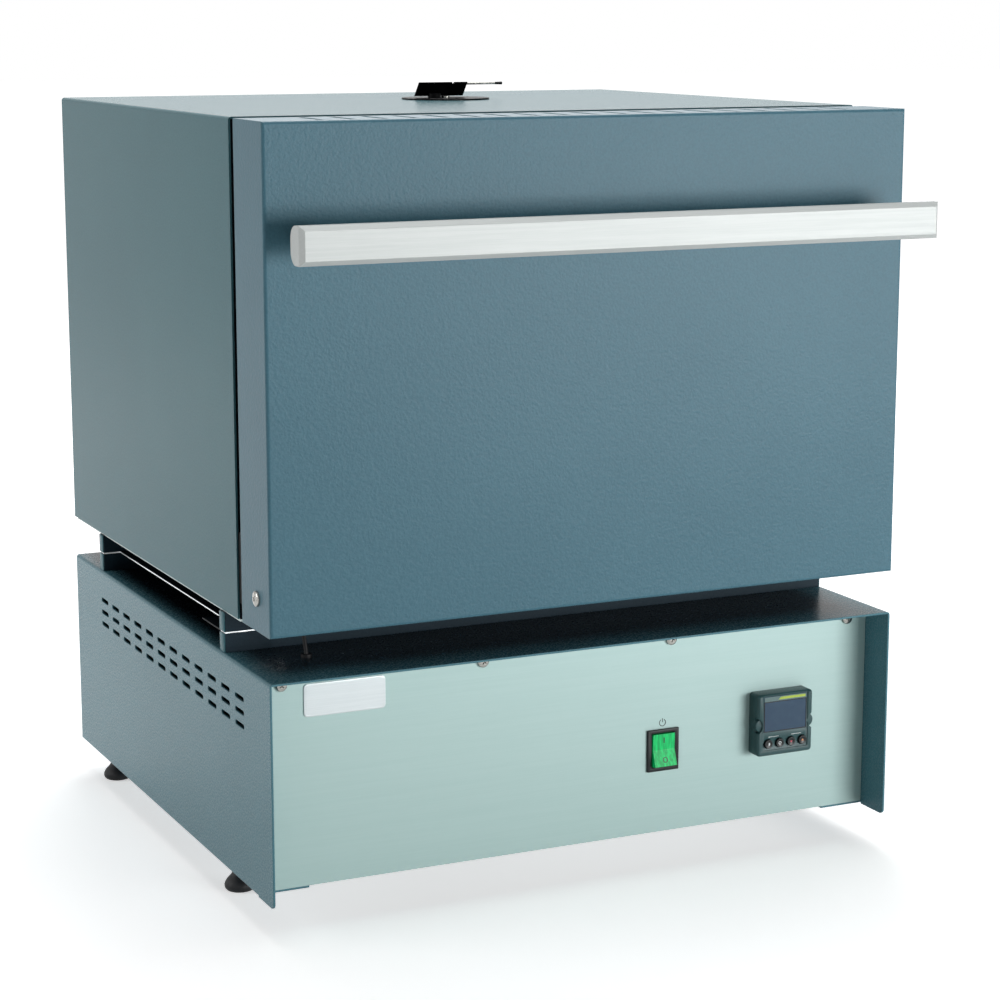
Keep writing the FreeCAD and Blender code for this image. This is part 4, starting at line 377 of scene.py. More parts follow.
def coverFinish(name, group, pattern, tones, edge, worn, depth, sheen=None, turn=(0, 0, 0), **values):
    # what most finishes share: a pattern in two tones, edges rubbed to a third, sheen and relief
    tree, shader = newFinish(name, **values)
    vector = placed(tree, turn)
    skin = useGroup(tree, group, vector, **pattern)
    edges = useGroup(tree, edgeGroup, vector, **edge)
    dark, light, rubbed = tones
    tone = blendTones(tree, skin["Tone"], dark, light)
    if worn:
        tone = blendTones(tree, times(tree, edges["Rubbed"], worn), tone, rubbed)
    fill(tree, shader, Base_Color=tone, Normal=bump(tree, skin["Height"], depth, edges["Normal"]))
    if sheen:
        fill(tree, shader, Roughness=spread(tree, skin["Sheen"], 0, 1, *sheen))


def paintFinish(name, dark, light, rubbed, rough, grain, depth, edge=0.0009, gloss=0.5, worn=0.35, bend=1.5):
    coverFinish(
        name, coatGroup, {"Pebbles": grain}, (dark, light, rubbed), {"Radius": edge}, worn, depth,
        (rough - 0.012, rough + 0.012), Roughness=rough, Specular_IOR_Level=gloss, IOR=bend,
    )


def metalFinish(name, dark, light, rough, lines, depth, turn=(0, 0, 0), metal=1.0, edge=0.0004, streaks=0.1):
    coverFinish(
        name, brushGroup, {"Lines": lines}, (dark, light, light), {"Radius": edge}, 0.5, depth,
        (rough + 0.6 * streaks, rough - 0.4 * streaks), turn, Roughness=rough, Metallic=metal,
    )


def plasticFinish(name, dark, light, rough, grain, depth, edge=0.0005, gloss=0.5):
    coverFinish(
        name, coatGroup, {"Pebbles": grain, "Drift": 25.0}, (dark, light, light),
        {"Radius": edge, "Patches": 200.0}, 0.3, depth, (rough - 0.05, rough + 0.06), Roughness=rough,
        Specular_IOR_Level=gloss,
    )


def fibreFinish(name, dark, light, rough, strands, depth):
    coverFinish(
        name, fibreGroup, {"Strands": strands}, (dark, light, light), {"Radius": 0.0015, "Patches": 90.0}, 0,
        depth, Roughness=rough, Specular_IOR_Level=0.25,
    )


def lensFinish(name, deep, bright, rough):
    # moulded translucent green with upright prisms behind a clear skin
    tree, shader = newFinish(name, Roughness=rough, Emission_Strength=0.12, Specular_IOR_Level=0.3)
    vector = placed(tree, stretch=(1, 1, 0.12))
    prisms = noise(tree, vector, 520.0, 3.0, 0.6)
    edges = useGroup(tree, edgeGroup, vector, Radius=0.0006)
    tone = blendTones(tree, spread(tree, prisms, 0.35, 0.68), deep, bright)
    relief = bump(tree, prisms, 0.00003, edges["Normal"])
    fill(tree, shader, Base_Color=tone, Emission_Color=tone, Normal=relief)


def displayFinish(name, grey, dot, cloudy):
    # dark glass over a grey display: a faint dot grid and a slow cloud
    tree, shader = newFinish(name, Roughness=0.16, Specular_IOR_Level=0.4)
    vector = placed(tree)
    grid = addNode(tree, "TexVoronoi", vector, feature="F1", Scale=2400, Randomness=0.0)
    tone = blendTones(tree, spread(tree, grid.outputs["Distance"], 0.3, 0.5), grey, dot)
    cloud = spread(tree, noise(tree, vector, 60.0, 2.0), 0.3, 0.7, 0, 0.6)
    tone = blendTones(tree, cloud, tone, cloudy)
    fill(tree, shader, Base_Color=tone)


def across(tree, way, fromLow, fromHigh):
    # a mask along X, Y or Z, or "aside", which is how far a place is from the middle plane
    where = addNode(tree, "TexCoord").outputs["Object"]
    where = addNode(tree, "SeparateXYZ", where).outputs
    value = mathNode(tree, "ABSOLUTE", where["X"]) if way == "aside" else where[way]
    return spread(tree, value, fromLow, fromHigh)


def gather(tree, operation, spans):
    # MULTIPLY gives where all the spans hold, and MAXIMUM where any of them does
    mask, *others = [across(tree, *span) for span in spans]
    for other in others:
        mask = mathNode(tree, operation, mask, other)
    return mask


def overlay(name, mask, tone):
    # lays another tone over a finish where the mask holds
    tree, shader = treeOf(name)
    under = shader.inputs["Base Color"].links[0].from_socket
    fill(tree, shader, Base_Color=blendTones(tree, mask, under, tone))


def paintEdgeHighlight(name, shown, tone, glow=0.0):
    # painted highlight: where cut edges face sideways and the mask lets them show, a bright tone is laid on
    # and made metallic; with a glow they also glow, as painted light
    tree, shader = treeOf(name)
    normal = addNode(tree, "NewGeometry").outputs["Normal"]
    upright = mathNode(tree, "ABSOLUTE", addNode(tree, "SeparateXYZ", normal).outputs["Z"])
    mask = times(tree, spread(tree, upright, 0.7, 0.5), shown)
    overlay(name, mask, tone)
    if shader.inputs["Metallic"].default_value < 0.5:
        fill(tree, shader, Metallic=mask)
    if glow:
        fill(tree, shader, Emission_Color=blendTones(tree, mask, (0, 0, 0), tone), Emission_Strength=glow)


worn = (118, 142, 148)
paintFinish("cabinetPaint", (63, 105, 114), (71, 115, 123), worn, 0.235, 760, 0.00007, bend=1.15)
# painted light: the base has the cabinet's paint, made lighter here for the floor light that its sides catch;
# it also gets painted shade under the cabinet further on
paintFinish("litBasePaint", (73, 118, 130), (82, 128, 140), worn, 0.27, 760, 0.00007, bend=1.25)
paintFinish("doorPaint", (64, 104, 119), (74, 115, 130), (110, 140, 152), 0.366, 640, 0.00013, bend=1.27)
# painted shade: the risers and bearers are made near-black for the shade that they sit in under the cabinet
paintFinish("shadedChannelPaint", (26, 42, 52), (34, 52, 62), (70, 92, 100), 0.433, 760, 0.00007, bend=1.2)
# painted shade: the heat shield is made near-black for the shade in the gap under the cabinet; its edges get
# a painted highlight further on
paintFinish("shadedShieldPaint", (12, 17, 21), (17, 23, 27), (17, 23, 27), 0.366, 620, 0.0001, 0.0005, bend=1.12)
paintFinish("blackSteel", (5, 6, 7), (13, 14, 16), (66, 68, 70), 0.433, 900, 0.00005, 0.0003, 0.2, 0.5, 1.25)

lengthwise = (0, 0, math.pi / 2)  # turns the brushed lines to run along Y
panelLook = {"metal": 0.15, "edge": 0.0003, "streaks": 0.02}
badgeLook = {"metal": 0.2, "streaks": 0.03}
handleLook = {"metal": 0.35, "edge": 0.0006, "streaks": 0.03}
metalFinish("panelPaint", (163, 190, 187), (167, 193, 190), 0.42, 1600, 0.000001, **panelLook)
metalFinish("zincSheet", (140, 146, 148), (180, 186, 188), 0.36, 260, 0.00002)
# painted shade: the floor pan's zinc sheet is made dark for the shade under the cabinet; its lower side edges
# get a painted highlight further on
metalFinish("shadedZinc", (38, 43, 48), (58, 63, 68), 0.45, 260, 0.00002, metal=0.9)
# the mouth frame's sheet is the bright sheet again, on which painted shade is laid at its sides further on
for name in ("brightSheet", "frameSheet"):
    metalFinish(name, (182, 186, 186), (200, 203, 202), 0.32, 2200, 0.000006, streaks=0.05)
metalFinish("screwMetal", (128, 128, 124), (176, 175, 170), 0.2, 2600, 0.00001, edge=0.0002)
metalFinish("badgeMetal", (204, 212, 214), (212, 219, 221), 0.36, 2600, 0.000002, **badgeLook)
metalFinish("handleMetal", (174, 179, 178), (181, 185, 184), 0.55, 3000, 0.000002, **handleLook)
metalFinish("sinkMetal", (120, 124, 126), (150, 154, 156), 0.42, 700, 0.00002, lengthwise)
metalFinish("elementWire", (70, 64, 60), (120, 108, 98), 0.5, 2200, 0.00002, metal=0.8)
metalFinish("probeMetal", (120, 112, 104), (168, 160, 150), 0.38, 1200, 0.00001, lengthwise)

plasticFinish("blackPlastic", (8, 11, 15), (17, 21, 26), 0.38, 1800, 0.00002, gloss=0.3)
plasticFinish("controllerPlastic", (30, 64, 67), (41, 77, 79), 0.4, 1500, 0.00003, gloss=0.35)
plasticFinish("keyRubber", (9, 11, 13), (20, 23, 26), 0.32, 2200, 0.00001, 0.0003, 0.35)
plasticFinish("footRubber", (7, 9, 12), (16, 19, 23), 0.55, 900, 0.00004, 0.0008, 0.3)
plasticFinish("palePlastic", (176, 172, 160), (202, 198, 186), 0.45, 1400, 0.00002)
plasticFinish("relayPlastic", (34, 38, 44), (52, 58, 66), 0.42, 1500, 0.00002)
plasticFinish("terminalPlastic", (186, 184, 170), (208, 206, 192), 0.45, 1300, 0.00002)
plasticFinish("sleevePlastic", (8, 9, 11), (20, 21, 24), 0.5, 1800, 0.00003, gloss=0.3)
for name, dark, light in (
    ("stripeInk", (150, 176, 40), (178, 200, 66)),
    ("paleInk", (196, 204, 204), (226, 232, 232)),
    ("redInk", (170, 60, 78), (206, 96, 110)),
    ("amberInk", (190, 120, 70), (222, 156, 104)),
    ("markInk", (12, 30, 26), (24, 46, 40)),
    ("headerPlastic", (70, 98, 98), (88, 116, 114)),
):
    plasticFinish(name, dark, light, 0.4, 2400, 0.000008, 0.0001)

fibreFinish("fibreBoard", (196, 190, 176), (238, 234, 224), 0.95, 240, 0.0006)
fibreFinish("sealFibre", (206, 202, 190), (240, 237, 228), 0.95, 420, 0.0008)
fibreFinish("hearthCeramic", (186, 172, 150), (216, 204, 184), 0.8, 120, 0.0003)
fibreFinish("flueCeramic", (200, 190, 172), (226, 218, 204), 0.7, 160, 0.0002)
lensFinish("greenLens", (0, 160, 84), (2, 208, 112), 0.36)
displayFinish("displayGlass", (40, 70, 96), (33, 60, 84), (52, 80, 102))


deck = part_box("base_cover")[1].z
shieldLow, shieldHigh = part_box("heat_shield")
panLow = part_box("cabinet_floor_pan")[0].z
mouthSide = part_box("mouth_frame")[1].x
onDeck = ("Z", deck - mm, deck - 0.5 * mm)
# masks for where shade and highlights are painted on
zones = {  # each span says along what it is measured, where it starts, and from where it holds
    "shadeUnderCabinet": [("X", 0.238, 0.213), ("X", -0.2495, -0.226), ("Y", -0.206, -0.165), onDeck],
    "shadeBetweenChannels": [("aside", 0.2485, 0.228), ("Y", shieldLow.y + 4 * mm, shieldLow.y + 9 * mm), onDeck],
    "shieldHighlightSpans": [  # where the shield's edges get a painted highlight: its inner sides, its front stretch and its rear stretch
        ("aside", shieldHigh.x - 0.5 * mm, shieldHigh.x - 0.9 * mm),
        ("Y", shieldLow.y + 11 * mm, shieldLow.y + 9 * mm),
        ("Y", shieldHigh.y - 11 * mm, shieldHigh.y - 9 * mm),
    ],
    "shieldHighlightCorner": [("Y", shieldLow.y + mm, shieldLow.y + 2 * mm), ("X", -0.2, -0.206)],
    "panHighlightEdge": [("Z", panLow + 1.7 * mm, panLow + 1.5 * mm), ("aside", 0.236, 0.24)],
    "mouthSideShade": [("aside", mouthSide - 3.4 * mm, mouthSide - 3 * mm)],
}


def paintLightAndShade():
    # painted shade: the base is dark under the cabinet and between the channels, and the mouth frame at its
    # sides; painted highlight: cut edges of the shield and the floor pan shine where they come into the open,
    # the shield's with a painted glow
    tree = treeOf("litBasePaint")[0]
    # painted shade on the deck under the cabinet
    overlay("litBasePaint", gather(tree, "MULTIPLY", zones["shadeUnderCabinet"]), (20, 34, 42))
    # painted shade, near-black, on the deck between the channels
    overlay("litBasePaint", gather(tree, "MULTIPLY", zones["shadeBetweenChannels"]), (4, 7, 10))
    tree = treeOf("shadedShieldPaint")[0]
    seen, corner = (gather(tree, "MAXIMUM", zones[name]) for name in ("shieldHighlightSpans", "shieldHighlightCorner"))
    # painted highlight and painted glow on the shield's cut edges
    paintEdgeHighlight("shadedShieldPaint", times(tree, seen, corner), (222, 226, 228), 0.18)
    # painted highlight on the floor pan's lower side edges
    paintEdgeHighlight("shadedZinc", gather(treeOf("shadedZinc")[0], "MULTIPLY", zones["panHighlightEdge"]), (166, 178, 178))
    # painted shade at the sides of the mouth frame
    overlay("frameSheet", gather(treeOf("frameSheet")[0], "MULTIPLY", zones["mouthSideShade"]), (14, 17, 22))
    print("finishes ready:", len(finishes))


paintLightAndShade()

nodeFinishes = {
    "cabinetPaint": ["cabinet_wrapper", "cabinet_back_panel"],
    "shadedChannelPaint": ["front_bearer", "rear_bearer", "front_riser", "rear_riser"],
    "litBasePaint": ["base_cover", "base_back_panel"],
    "shadedShieldPaint": ["heat_shield"],
    "doorPaint": ["door_pan"],
    "panelPaint": ["control_panel"],
    "zincSheet": ["base_floor"],
    "shadedZinc": ["cabinet_floor_pan"],
    "brightSheet": ["door_liner"],
    "frameSheet": ["mouth_frame"],
    "screwMetal": [
        "panel_screws", "rear_screws", "pivot_screws", "stop_pins", "channel_bolts", "damper_pivot",
    ],
    "badgeMetal": ["badge_plate"],
    "handleMetal": ["handle_bar"],
    # painted shade: the hinge brackets take the near-black steel so that the gap at their level stays dark
    "blackSteel": ["handle_posts", "damper_disc", "damper_grip", "hinge_bracket_left", "hinge_bracket_right"],
    "blackPlastic": ["switch_frame", "cord_gland"],
    "greenLens": ["power_rocker"],
    "controllerPlastic": ["controller_case"],
    "displayGlass": ["controller_screen"],
    "keyRubber": [f"controller_button_{number}" for number in (1, 2, 3, 4)],
    "footRubber": ["foot_front_left", "foot_front_right", "foot_rear_left", "foot_rear_right"],
    "sinkMetal": ["relay_heat_sink"],
    "relayPlastic": ["solid_state_relay"],
    "terminalPlastic": ["terminal_block"],
    "fibreBoard": [
        "insulation_floor", "insulation_roof", "flue_block", "insulation_left", "insulation_right",
        "insulation_back", "door_insulation",
    ],
    "sealFibre": ["door_gasket"],
    "elementWire": ["heating_element_left", "heating_element_right"],
    "hearthCeramic": ["hearth_plate"],
    "flueCeramic": ["flue_tube"],
    "probeMetal": ["thermocouple"],
    "palePlastic": ["door_switch", "door_switch_plunger"],
    "sleevePlastic": ["switch_lead"],
}
for finishName, names in nodeFinishes.items():
    for name in names:
        dress(node[name], finishes[finishName])
print("solids dressed:", sum(len(names) for names in nodeFinishes.values()))


screw = inMetres(
    radius=4.35, height=2.6,
    pivotHeight=2.5,  # the heads of the hinge screws
    spacing=12,  # points that are nearer than this belong to one screw
) | {
    "sides": 28,
    "rim": 0.35,  # share of the height that stands straight
    "steps": ((0.45, 0.97), (0.28, 0.88), (0.17, 0.76), (0.1, 0.62)),  # rise and narrowing of the dome
    "crossReach": 0.62, "crossWidth": 0.24, "crossFloor": 0.3, "crossTaper": 0.55, "firstTurn": 0.7,
    "nextTurn": 1.9,  # so that the crosses don't all stand alike
}


def makeScrewHead():
    # a pan head that stands on z = 0, with a cross recess
    radius, height = screw["radius"], screw["height"]
    rim = screw["rim"] * height
    pickNothing()
    bpy.ops.mesh.primitive_cylinder_add(
        vertices=screw["sides"], radius=radius, depth=rim, location=(0, 0, rim / 2),
    )
    head = settle("screwHead")
    editMode(head, lambda face: face.normal.z > 0.9)
    for rise, narrowing in screw["steps"]:
        step = (0, 0, rise * (height - rim))
        bpy.ops.mesh.extrude_region_move(TRANSFORM_OT_translate={"value": step})
        bpy.ops.transform.resize(value=(narrowing, narrowing, 1))
    reach, half = screw["crossReach"] * radius, screw["crossWidth"] * radius / 2
    floor, taper = screw["crossFloor"] * height, screw["crossTaper"]
    for wide, deep in ((reach, half), (half, reach)):
        cutter = addBox("crossCutter", (-wide, -deep, floor), (wide, deep, 2 * height))
        editMode(cutter, lambda face: face.normal.z < -0.9)
        bpy.ops.transform.resize(value=(taper, taper, 1))
        cutWith(head, cutter)
    smooth(head)
    return head


def screwSpots(name):
    # lowest and highest corner of each screw in one solid, told apart by where they stand
    spots = []
    for point in (vertex.co for vertex in node[name].data.vertices):
        for first, low, high in spots:
            if max(abs(first.x - point.x), abs(first.z - point.z)) < screw["spacing"]:
                break
        else:
            first, low, high = point.copy(), point.copy(), point.copy()
            spots.append((first, low, high))
        for side in range(3):
            low[side] = min(low[side], point[side])
            high[side] = max(high[side], point[side])
    return sorted([spot[1:] for spot in spots], key=lambda spot: (round(spot[0].z, 3), spot[0].x))


def makeScrews():
    pattern = makeScrewHead()
    for name, out in (("panel_screws", -1), ("rear_screws", 1)):
        for number, (low, high) in enumerate(screwSpots(name)):
            face = low.y + screw["height"] if out < 0 else high.y - screw["height"]
            spot = ((low.x + high.x) / 2, face, (low.z + high.z) / 2)
            twist = screw["firstTurn"] + screw["nextTurn"] * number
            head = standCopy(pattern, f"{name[:-1]}_{number + 1}", spot, (0, out, 0), twist)
            seat(head, "screwMetal", [name])
    low, high, middle = placeOf("pivot_screws")
    ends = ((-1, low.x + screw["pivotHeight"]), (1, high.x - screw["pivotHeight"]))
    shanks = copyOf(node["pivot_screws"], "pivotShanks")
    editMode(shanks, kind="VERT")
    bpy.ops.mesh.remove_doubles(threshold=1e-6)
    for side, edge in ends:
        bpy.ops.mesh.select_all(action="SELECT")
        bpy.ops.mesh.bisect(plane_co=(edge, 0, 0), plane_no=(side, 0, 0), use_fill=True, clear_outer=True)
    heads = [shanks]
    stretch = (high.z - low.z) / (2 * screw["radius"])
    shape = Matrix.Diagonal((screw["pivotHeight"] / screw["height"], stretch, stretch, 1))
    for side, edge in ends:
        head = standCopy(pattern, "pivotHead", (edge, middle.y, middle.z), (side, 0, 0), 0.5 * side)
        place = Matrix.Translation((edge, middle.y, middle.z))
        head.data.transform(place @ shape @ place.inverted())
        heads.append(head)
    pivots = joinAll(heads, "hinge_screws")
    for key in ("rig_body", "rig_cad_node"):  # marks of the CAD node that the copy still carries
        if key in pivots:
            del pivots[key]
    seat(pivots, "screwMetal", ["pivot_screws"])
    bpy.data.objects.remove(pattern)
    print("screws ready")


makeScrews()


controller = inMetres(
    corner=2.6, rim=1.4, rimSlope=1.6,
    faceEdge=1.1,  # from the screen to the edge of the sunk face
    faceAbove=0.8,
    faceBelow=5.2,  # from the middle of the keys down to the same edge
    faceSink=0.7, faceCorner=1.2, edges=0.28, earRound=5.4,
    earOut=1.3,  # how far an ear stands out at the side, and back from the face
    earBack=1.6, earLength=7, earEdges=0.7,
    grooveOut=2.2,  # a groove round each ear
    grooveWide=1.1, grooveDeep=5.0,
    play=0.1,  # round the screen
    bodyStep=1.6,  # the body behind the panel is smaller than the front
    bodyEdges=0.8,
)
marks = inMetres(  # on the screen, and over the keys
    skin=0.12, top=0.25, header=3.6, headerIn=0.2,
    stripeLeft=4,  # from the middle of the controller
    stripeRight=1.2,  # from the screen's edge
    stripeLean=2.4, rimIn=0.15, rim=0.55, bracketOver=5.0, bracketIn=0.5, bracket=0.35,
    bracketDrop=0.7,
) | {
    "stripe": (0.72, 0.2),  # foot and top, as shares of the header, from above
}
key = inMetres(
    radius=3.3, bore=3.75, boreDeep=5.4, rim=0.75, slope=0.5, dish=0.35, edges=0.35, mark=1.25,
    markHole=0.75, markThick=0.13,
) | {
    "marks": (("paleInk", 24), ("paleInk", 24), ("redInk", 3), ("amberInk", 3)),  # ink and sides
}


def makeControllerFront(spots):
    low, high, middle = placeOf("controller_case")
    screenLow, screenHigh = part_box("controller_screen")
    half = (high.z - low.z) / 2
    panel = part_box("control_panel")[0].y
    left, right = middle.x - half, middle.x + half

    case = addBox("controller_front", (left, low.y, low.z), (right, panel, high.z))
    roundCorners(case, controller["corner"], 4)
    insetFront(case, (controller["rim"], 0))

    def onRim(point):
        away = max(abs(point.co.x - middle.x), abs(point.co.z - middle.z))
        return point.co.y < low.y + 0.01 * mm and away > half - 0.8 * controller["rim"]
    editMode(case, onRim, "VERT")
    bpy.ops.transform.translate(value=(0, controller["rimSlope"], 0))  # slopes back to the sides
    edge, above, below = controller["faceEdge"], controller["faceAbove"], controller["faceBelow"]
    faceLow = (screenLow.x - edge, low.y - mm, spots[0].z - below)
    faceHigh = (screenHigh.x + edge, low.y + controller["faceSink"], screenHigh.z + above)
    sunk = addBox("sunkFace", faceLow, faceHigh)
    roundCorners(sunk, controller["faceCorner"], 3)
    cutWith(case, sunk)
    earRound = controller["earRound"]
    for side in (-1, 1):
        spot = (middle.x + side * half + side * controller["grooveOut"], low.y - mm, middle.z)
        wide, deep = earRound + controller["grooveWide"], controller["grooveDeep"] + mm
        cutWith(case, addPost("groove", spot, wide, deep, toBack))
    for spot in spots:
        cutWith(case, addPost("bore", (spot.x, low.y - mm, spot.z), key["bore"], key["boreDeep"], toBack))
    play = controller["play"]
    pocketLow = (screenLow.x - play, low.y - mm, screenLow.z - play)
    cutWith(case, addBox("pocket", pocketLow, (screenHigh.x + play, screenHigh.y, screenHigh.z + play)))
    roundEdges(case, controller["edges"], 2, 40)
    pieces = [case]
    for side in (-1, 1):
        edge = middle.x + side * (half - earRound + controller["earOut"])
        spot = (edge, low.y + controller["earBack"], middle.z)
        ear = addPost("ear", spot, earRound, controller["earLength"], toBack, 40)
        roundEdges(ear, controller["earEdges"], 3, 40)
        pieces.append(ear)
    step = controller["bodyStep"]
    back = addBox("back", (left + step, panel, low.z + step), (right - step, high.y, high.z - step))
    roundEdges(back, controller["bodyEdges"])
    front = joinAll([*pieces, back], "controller_front")
    smooth(front, 32)
    seat(front, "controllerPlastic", ["controller_case"])


def makeScreenMarks():
    # a header with a stripe, and a rim round the display
    middle = placeOf("controller_case")[2]
    low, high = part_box("controller_screen")
    skin, tall, top = marks["skin"], marks["header"], high.z - marks["top"]
    inset = marks["headerIn"]
    headerLow = (low.x + inset, low.y - skin, top - tall)
    header = addBox("controller_header", headerLow, (high.x - inset, low.y, top))
    roundEdges(header, 0.05 * mm, 1)
    seat(header, "headerPlastic")

    foot, head = (top - share * tall for share in marks["stripe"])
    stripeLow = Vector((middle.x - marks["stripeLeft"], low.y - 2 * skin, foot))
    stripe = addBox("controller_stripe", stripeLow, (high.x - marks["stripeRight"], low.y - skin, head))
    corner = stripeLow + Vector((0.01 * mm, 0, 0.01 * mm))
    editMode(stripe, lambda point: point.co.x < corner.x and point.co.z < corner.z, "VERT")
    bpy.ops.transform.translate(value=(-marks["stripeLean"], 0, 0))
    seat(stripe, "stripeInk")

    inset = marks["rimIn"]
    rimLow = (low.x + inset, low.y - skin, low.z + inset)
    rim = addBox("display_rim", rimLow, (high.x - inset, low.y, top - tall - 0.1 * mm))
    editMode(rim, lambda face: abs(face.normal.y) > 0.9)
    bpy.ops.mesh.inset(thickness=marks["rim"], depth=0)
    bpy.ops.mesh.bridge_edge_loops()
    seat(rim, "keyRubber")


def makeKey(number, spot):
    # a round key with a dished face, and a plain mark on it
    name = f"controller_button_{number + 1}"
    low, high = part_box(name)
    cap = addPost(f"key_{number + 1}", (spot.x, high.y, spot.z), key["radius"], high.y - low.y, toFront, 36)
    insetFront(cap, (key["rim"], 0), (key["slope"], -key["dish"]))
    roundEdges(cap, key["edges"], 3, 40)
    smooth(cap, 40)
    body = f"button_{number + 1}"
    seat(cap, "keyRubber", [name], body)
    face = low.y + key["dish"]
    ink, sides = key["marks"][number]
    place = (spot.x, face + 0.05 * mm, spot.z)
    mark = addPost(f"key_mark_{number + 1}", place, key["mark"], key["markThick"], toFront, sides)
    if number == 0:  # half a disc
        editMode(mark, kind="VERT")
        bpy.ops.mesh.bisect(plane_co=spot, plane_no=(-1, 0, 0), use_fill=True, clear_outer=True)
    if number == 1:  # a ring
        cutWith(mark, addPost("hole", (spot.x, face + mm, spot.z), key["markHole"], 2 * mm, toFront, 24))
    if number == 2:  # a triangle that points the other way
        there = Matrix.Translation(spot)
        mark.data.transform(there @ Matrix.Rotation(math.pi, 4, "Y") @ there.inverted())
    roundEdges(mark, 0.03 * mm, 1, 40)
    smooth(mark, 40)
    seat(mark, ink, body=body)


def makeBrackets(spots):
    # a thin bracket over each pair of keys
    depth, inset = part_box("controller_case")[0].y + controller["faceSink"], marks["bracketIn"]
    for number in (0, 2):
        first, last = spots[number], spots[number + 1]
        level = first.z + marks["bracketOver"]
        lineLow = (first.x + inset, depth - 0.1 * mm, level)
        lineHigh = (last.x - inset, depth, level + marks["bracket"])
        line = addBox(f"key_bracket_{number // 2 + 1}", lineLow, lineHigh)
        editMode(line, lambda face: abs(face.normal.x) > 0.9)
        drop = (0, 0, -marks["bracketDrop"])
        bpy.ops.mesh.extrude_region_move(TRANSFORM_OT_translate={"value": drop})
        seat(line, "paleInk")


def makeController():
    spots = [placeOf(f"controller_button_{number}")[2] for number in (1, 2, 3, 4)]
    makeControllerFront(spots)
    makeScreenMarks()
    for number, spot in enumerate(spots):
        makeKey(number, spot)
    makeBrackets(spots)
    print("controller ready")


makeController()


rocker = inMetres(
    dip=2.2, crest=4.6, half=12.2, markAt=7.4, ink=0.12, stroke=0.45, ringLine=0.6, markHalf=2.1,
    frameEdge=0.9,  # how far the frame's edge reaches over the rocker
    frameRound=0.6, throat=13.2,
) | {
    "tilt": math.radians(9),
    "wall": (1.5 * mm, 1 * mm, 2 * mm),  # of the housing: at the sides, above and below, and behind
}
sign = inMetres(
    radius=2.9, ring=0.62, gap=1.25, bar=0.32, above=4.6, skin=0.05,
) | {
    "barSpan": (0.3 * mm, 3.3 * mm),
}


def onRocker(piece, level):
    # moves a mark that stands at the origin, facing -Y, to one half of the rocker's face
    slope = math.atan2(rocker["crest"] - rocker["dip"], rocker["half"])
    out = rocker["dip"] + math.tan(slope) * abs(level)
    pivot = next(Vector(joint["pos_m"]) for joint in frame["joints"] if joint["name"] == "rocker_switch")
    lean = Matrix.Rotation(math.copysign(slope, level), 4, "X")
    turned = Matrix.Translation(pivot) @ Matrix.Rotation(-rocker["tilt"], 4, "X")
    piece.data.transform(turned @ Matrix.Translation((0, -out, level)) @ lean)
    seat(piece, "markInk", body="rocker")


def makeRing(name, radius, width, depth):
    ring = addPost(name, (0, depth / 2, 0), radius, depth, toFront, 40)
    cutWith(ring, addPost("hole", (0, depth, 0), radius - width, 3 * depth, toFront, 40))
    return ring


def boxAround(name, middle, wide, tall, front, back):
    low = (middle.x - wide, front, middle.z - tall)
    return addBox(name, low, (middle.x + wide, back, middle.z + tall))


def makeSwitch():
    ink, stroke, reach = rocker["ink"], rocker["stroke"], rocker["markHalf"]
    bar = addBox("rocker_mark_on", (-stroke, -ink, -reach), (stroke, ink, reach))
    roundEdges(bar, 0.08 * mm, 1)
    onRocker(bar, rocker["markAt"])
    onRocker(makeRing("rocker_mark_off", reach, rocker["ringLine"], 2 * ink), -rocker["markAt"])

    # the usual power sign above the switch: a ring open at the top, with a bar in the opening
    low, high, middle = placeOf("switch_frame")
    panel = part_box("control_panel")[0].y
    skin, gap, half = sign["skin"], sign["gap"], sign["bar"]
    ring = makeRing("power_sign", sign["radius"], sign["ring"], 2 * skin)
    cutWith(ring, addBox("gap", (-gap, -mm, 0.5 * mm), (gap, mm, 4 * mm)))
    foot, head = sign["barSpan"]
    power = joinAll([ring, addBox("bar", (-half, -skin, foot), (half, skin, head))], "power_sign")
    power.data.transform(Matrix.Translation((middle.x, panel, high.z + sign["above"])))
    seat(power, "markInk")

    # the frame, with a rounded rim and a sloping throat round the rocker
    rim = addBox("switch_bezel", low, (high.x, panel, high.z))
    rockerLow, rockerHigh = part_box("power_rocker")
    wide, tall = (rockerHigh.x - rockerLow.x) / 2 - rocker["frameEdge"], rocker["throat"]
    cutWith(rim, boxAround("throat", middle, wide, tall, low.y - mm, high.y))
    roundEdges(rim, rocker["frameRound"], 3)
    aside, above, behind = rocker["wall"]
    housing = boxAround("housing", middle, wide + aside, tall + above, panel, high.y)
    cutWith(housing, boxAround("well", middle, wide, tall, panel - mm, high.y - behind))
    bezel = joinAll([rim, housing], "switch_bezel")
    smooth(bezel)
    seat(bezel, "blackPlastic", ["switch_frame"])
    print("switch ready")


makeSwitch()


coil = inMetres(
    wire=0.75, pitch=4.2, length=250, link=1.6, tail=2.0,
    overlap=3,  # of the tails over the ends of the runs
) | {
    "steps": 12, "runs": 6,
}


def makeCoilRun(radius):
    # one straight run of coil along +Y from the origin
    pickNothing()
    bpy.ops.mesh.primitive_circle_add(
        vertices=6, radius=coil["wire"], fill_type="NOTHING", location=(radius - coil["wire"], 0, 0),
    )
    run = settle("coilRun")
    modify(
        run, "SCREW", axis="Y", angle=2 * math.pi, screw_offset=coil["pitch"], steps=coil["steps"],
        render_steps=coil["steps"], iterations=int(coil["length"] / coil["pitch"]), use_merge_vertices=False,
    )
    smooth(run, 60)
    return run


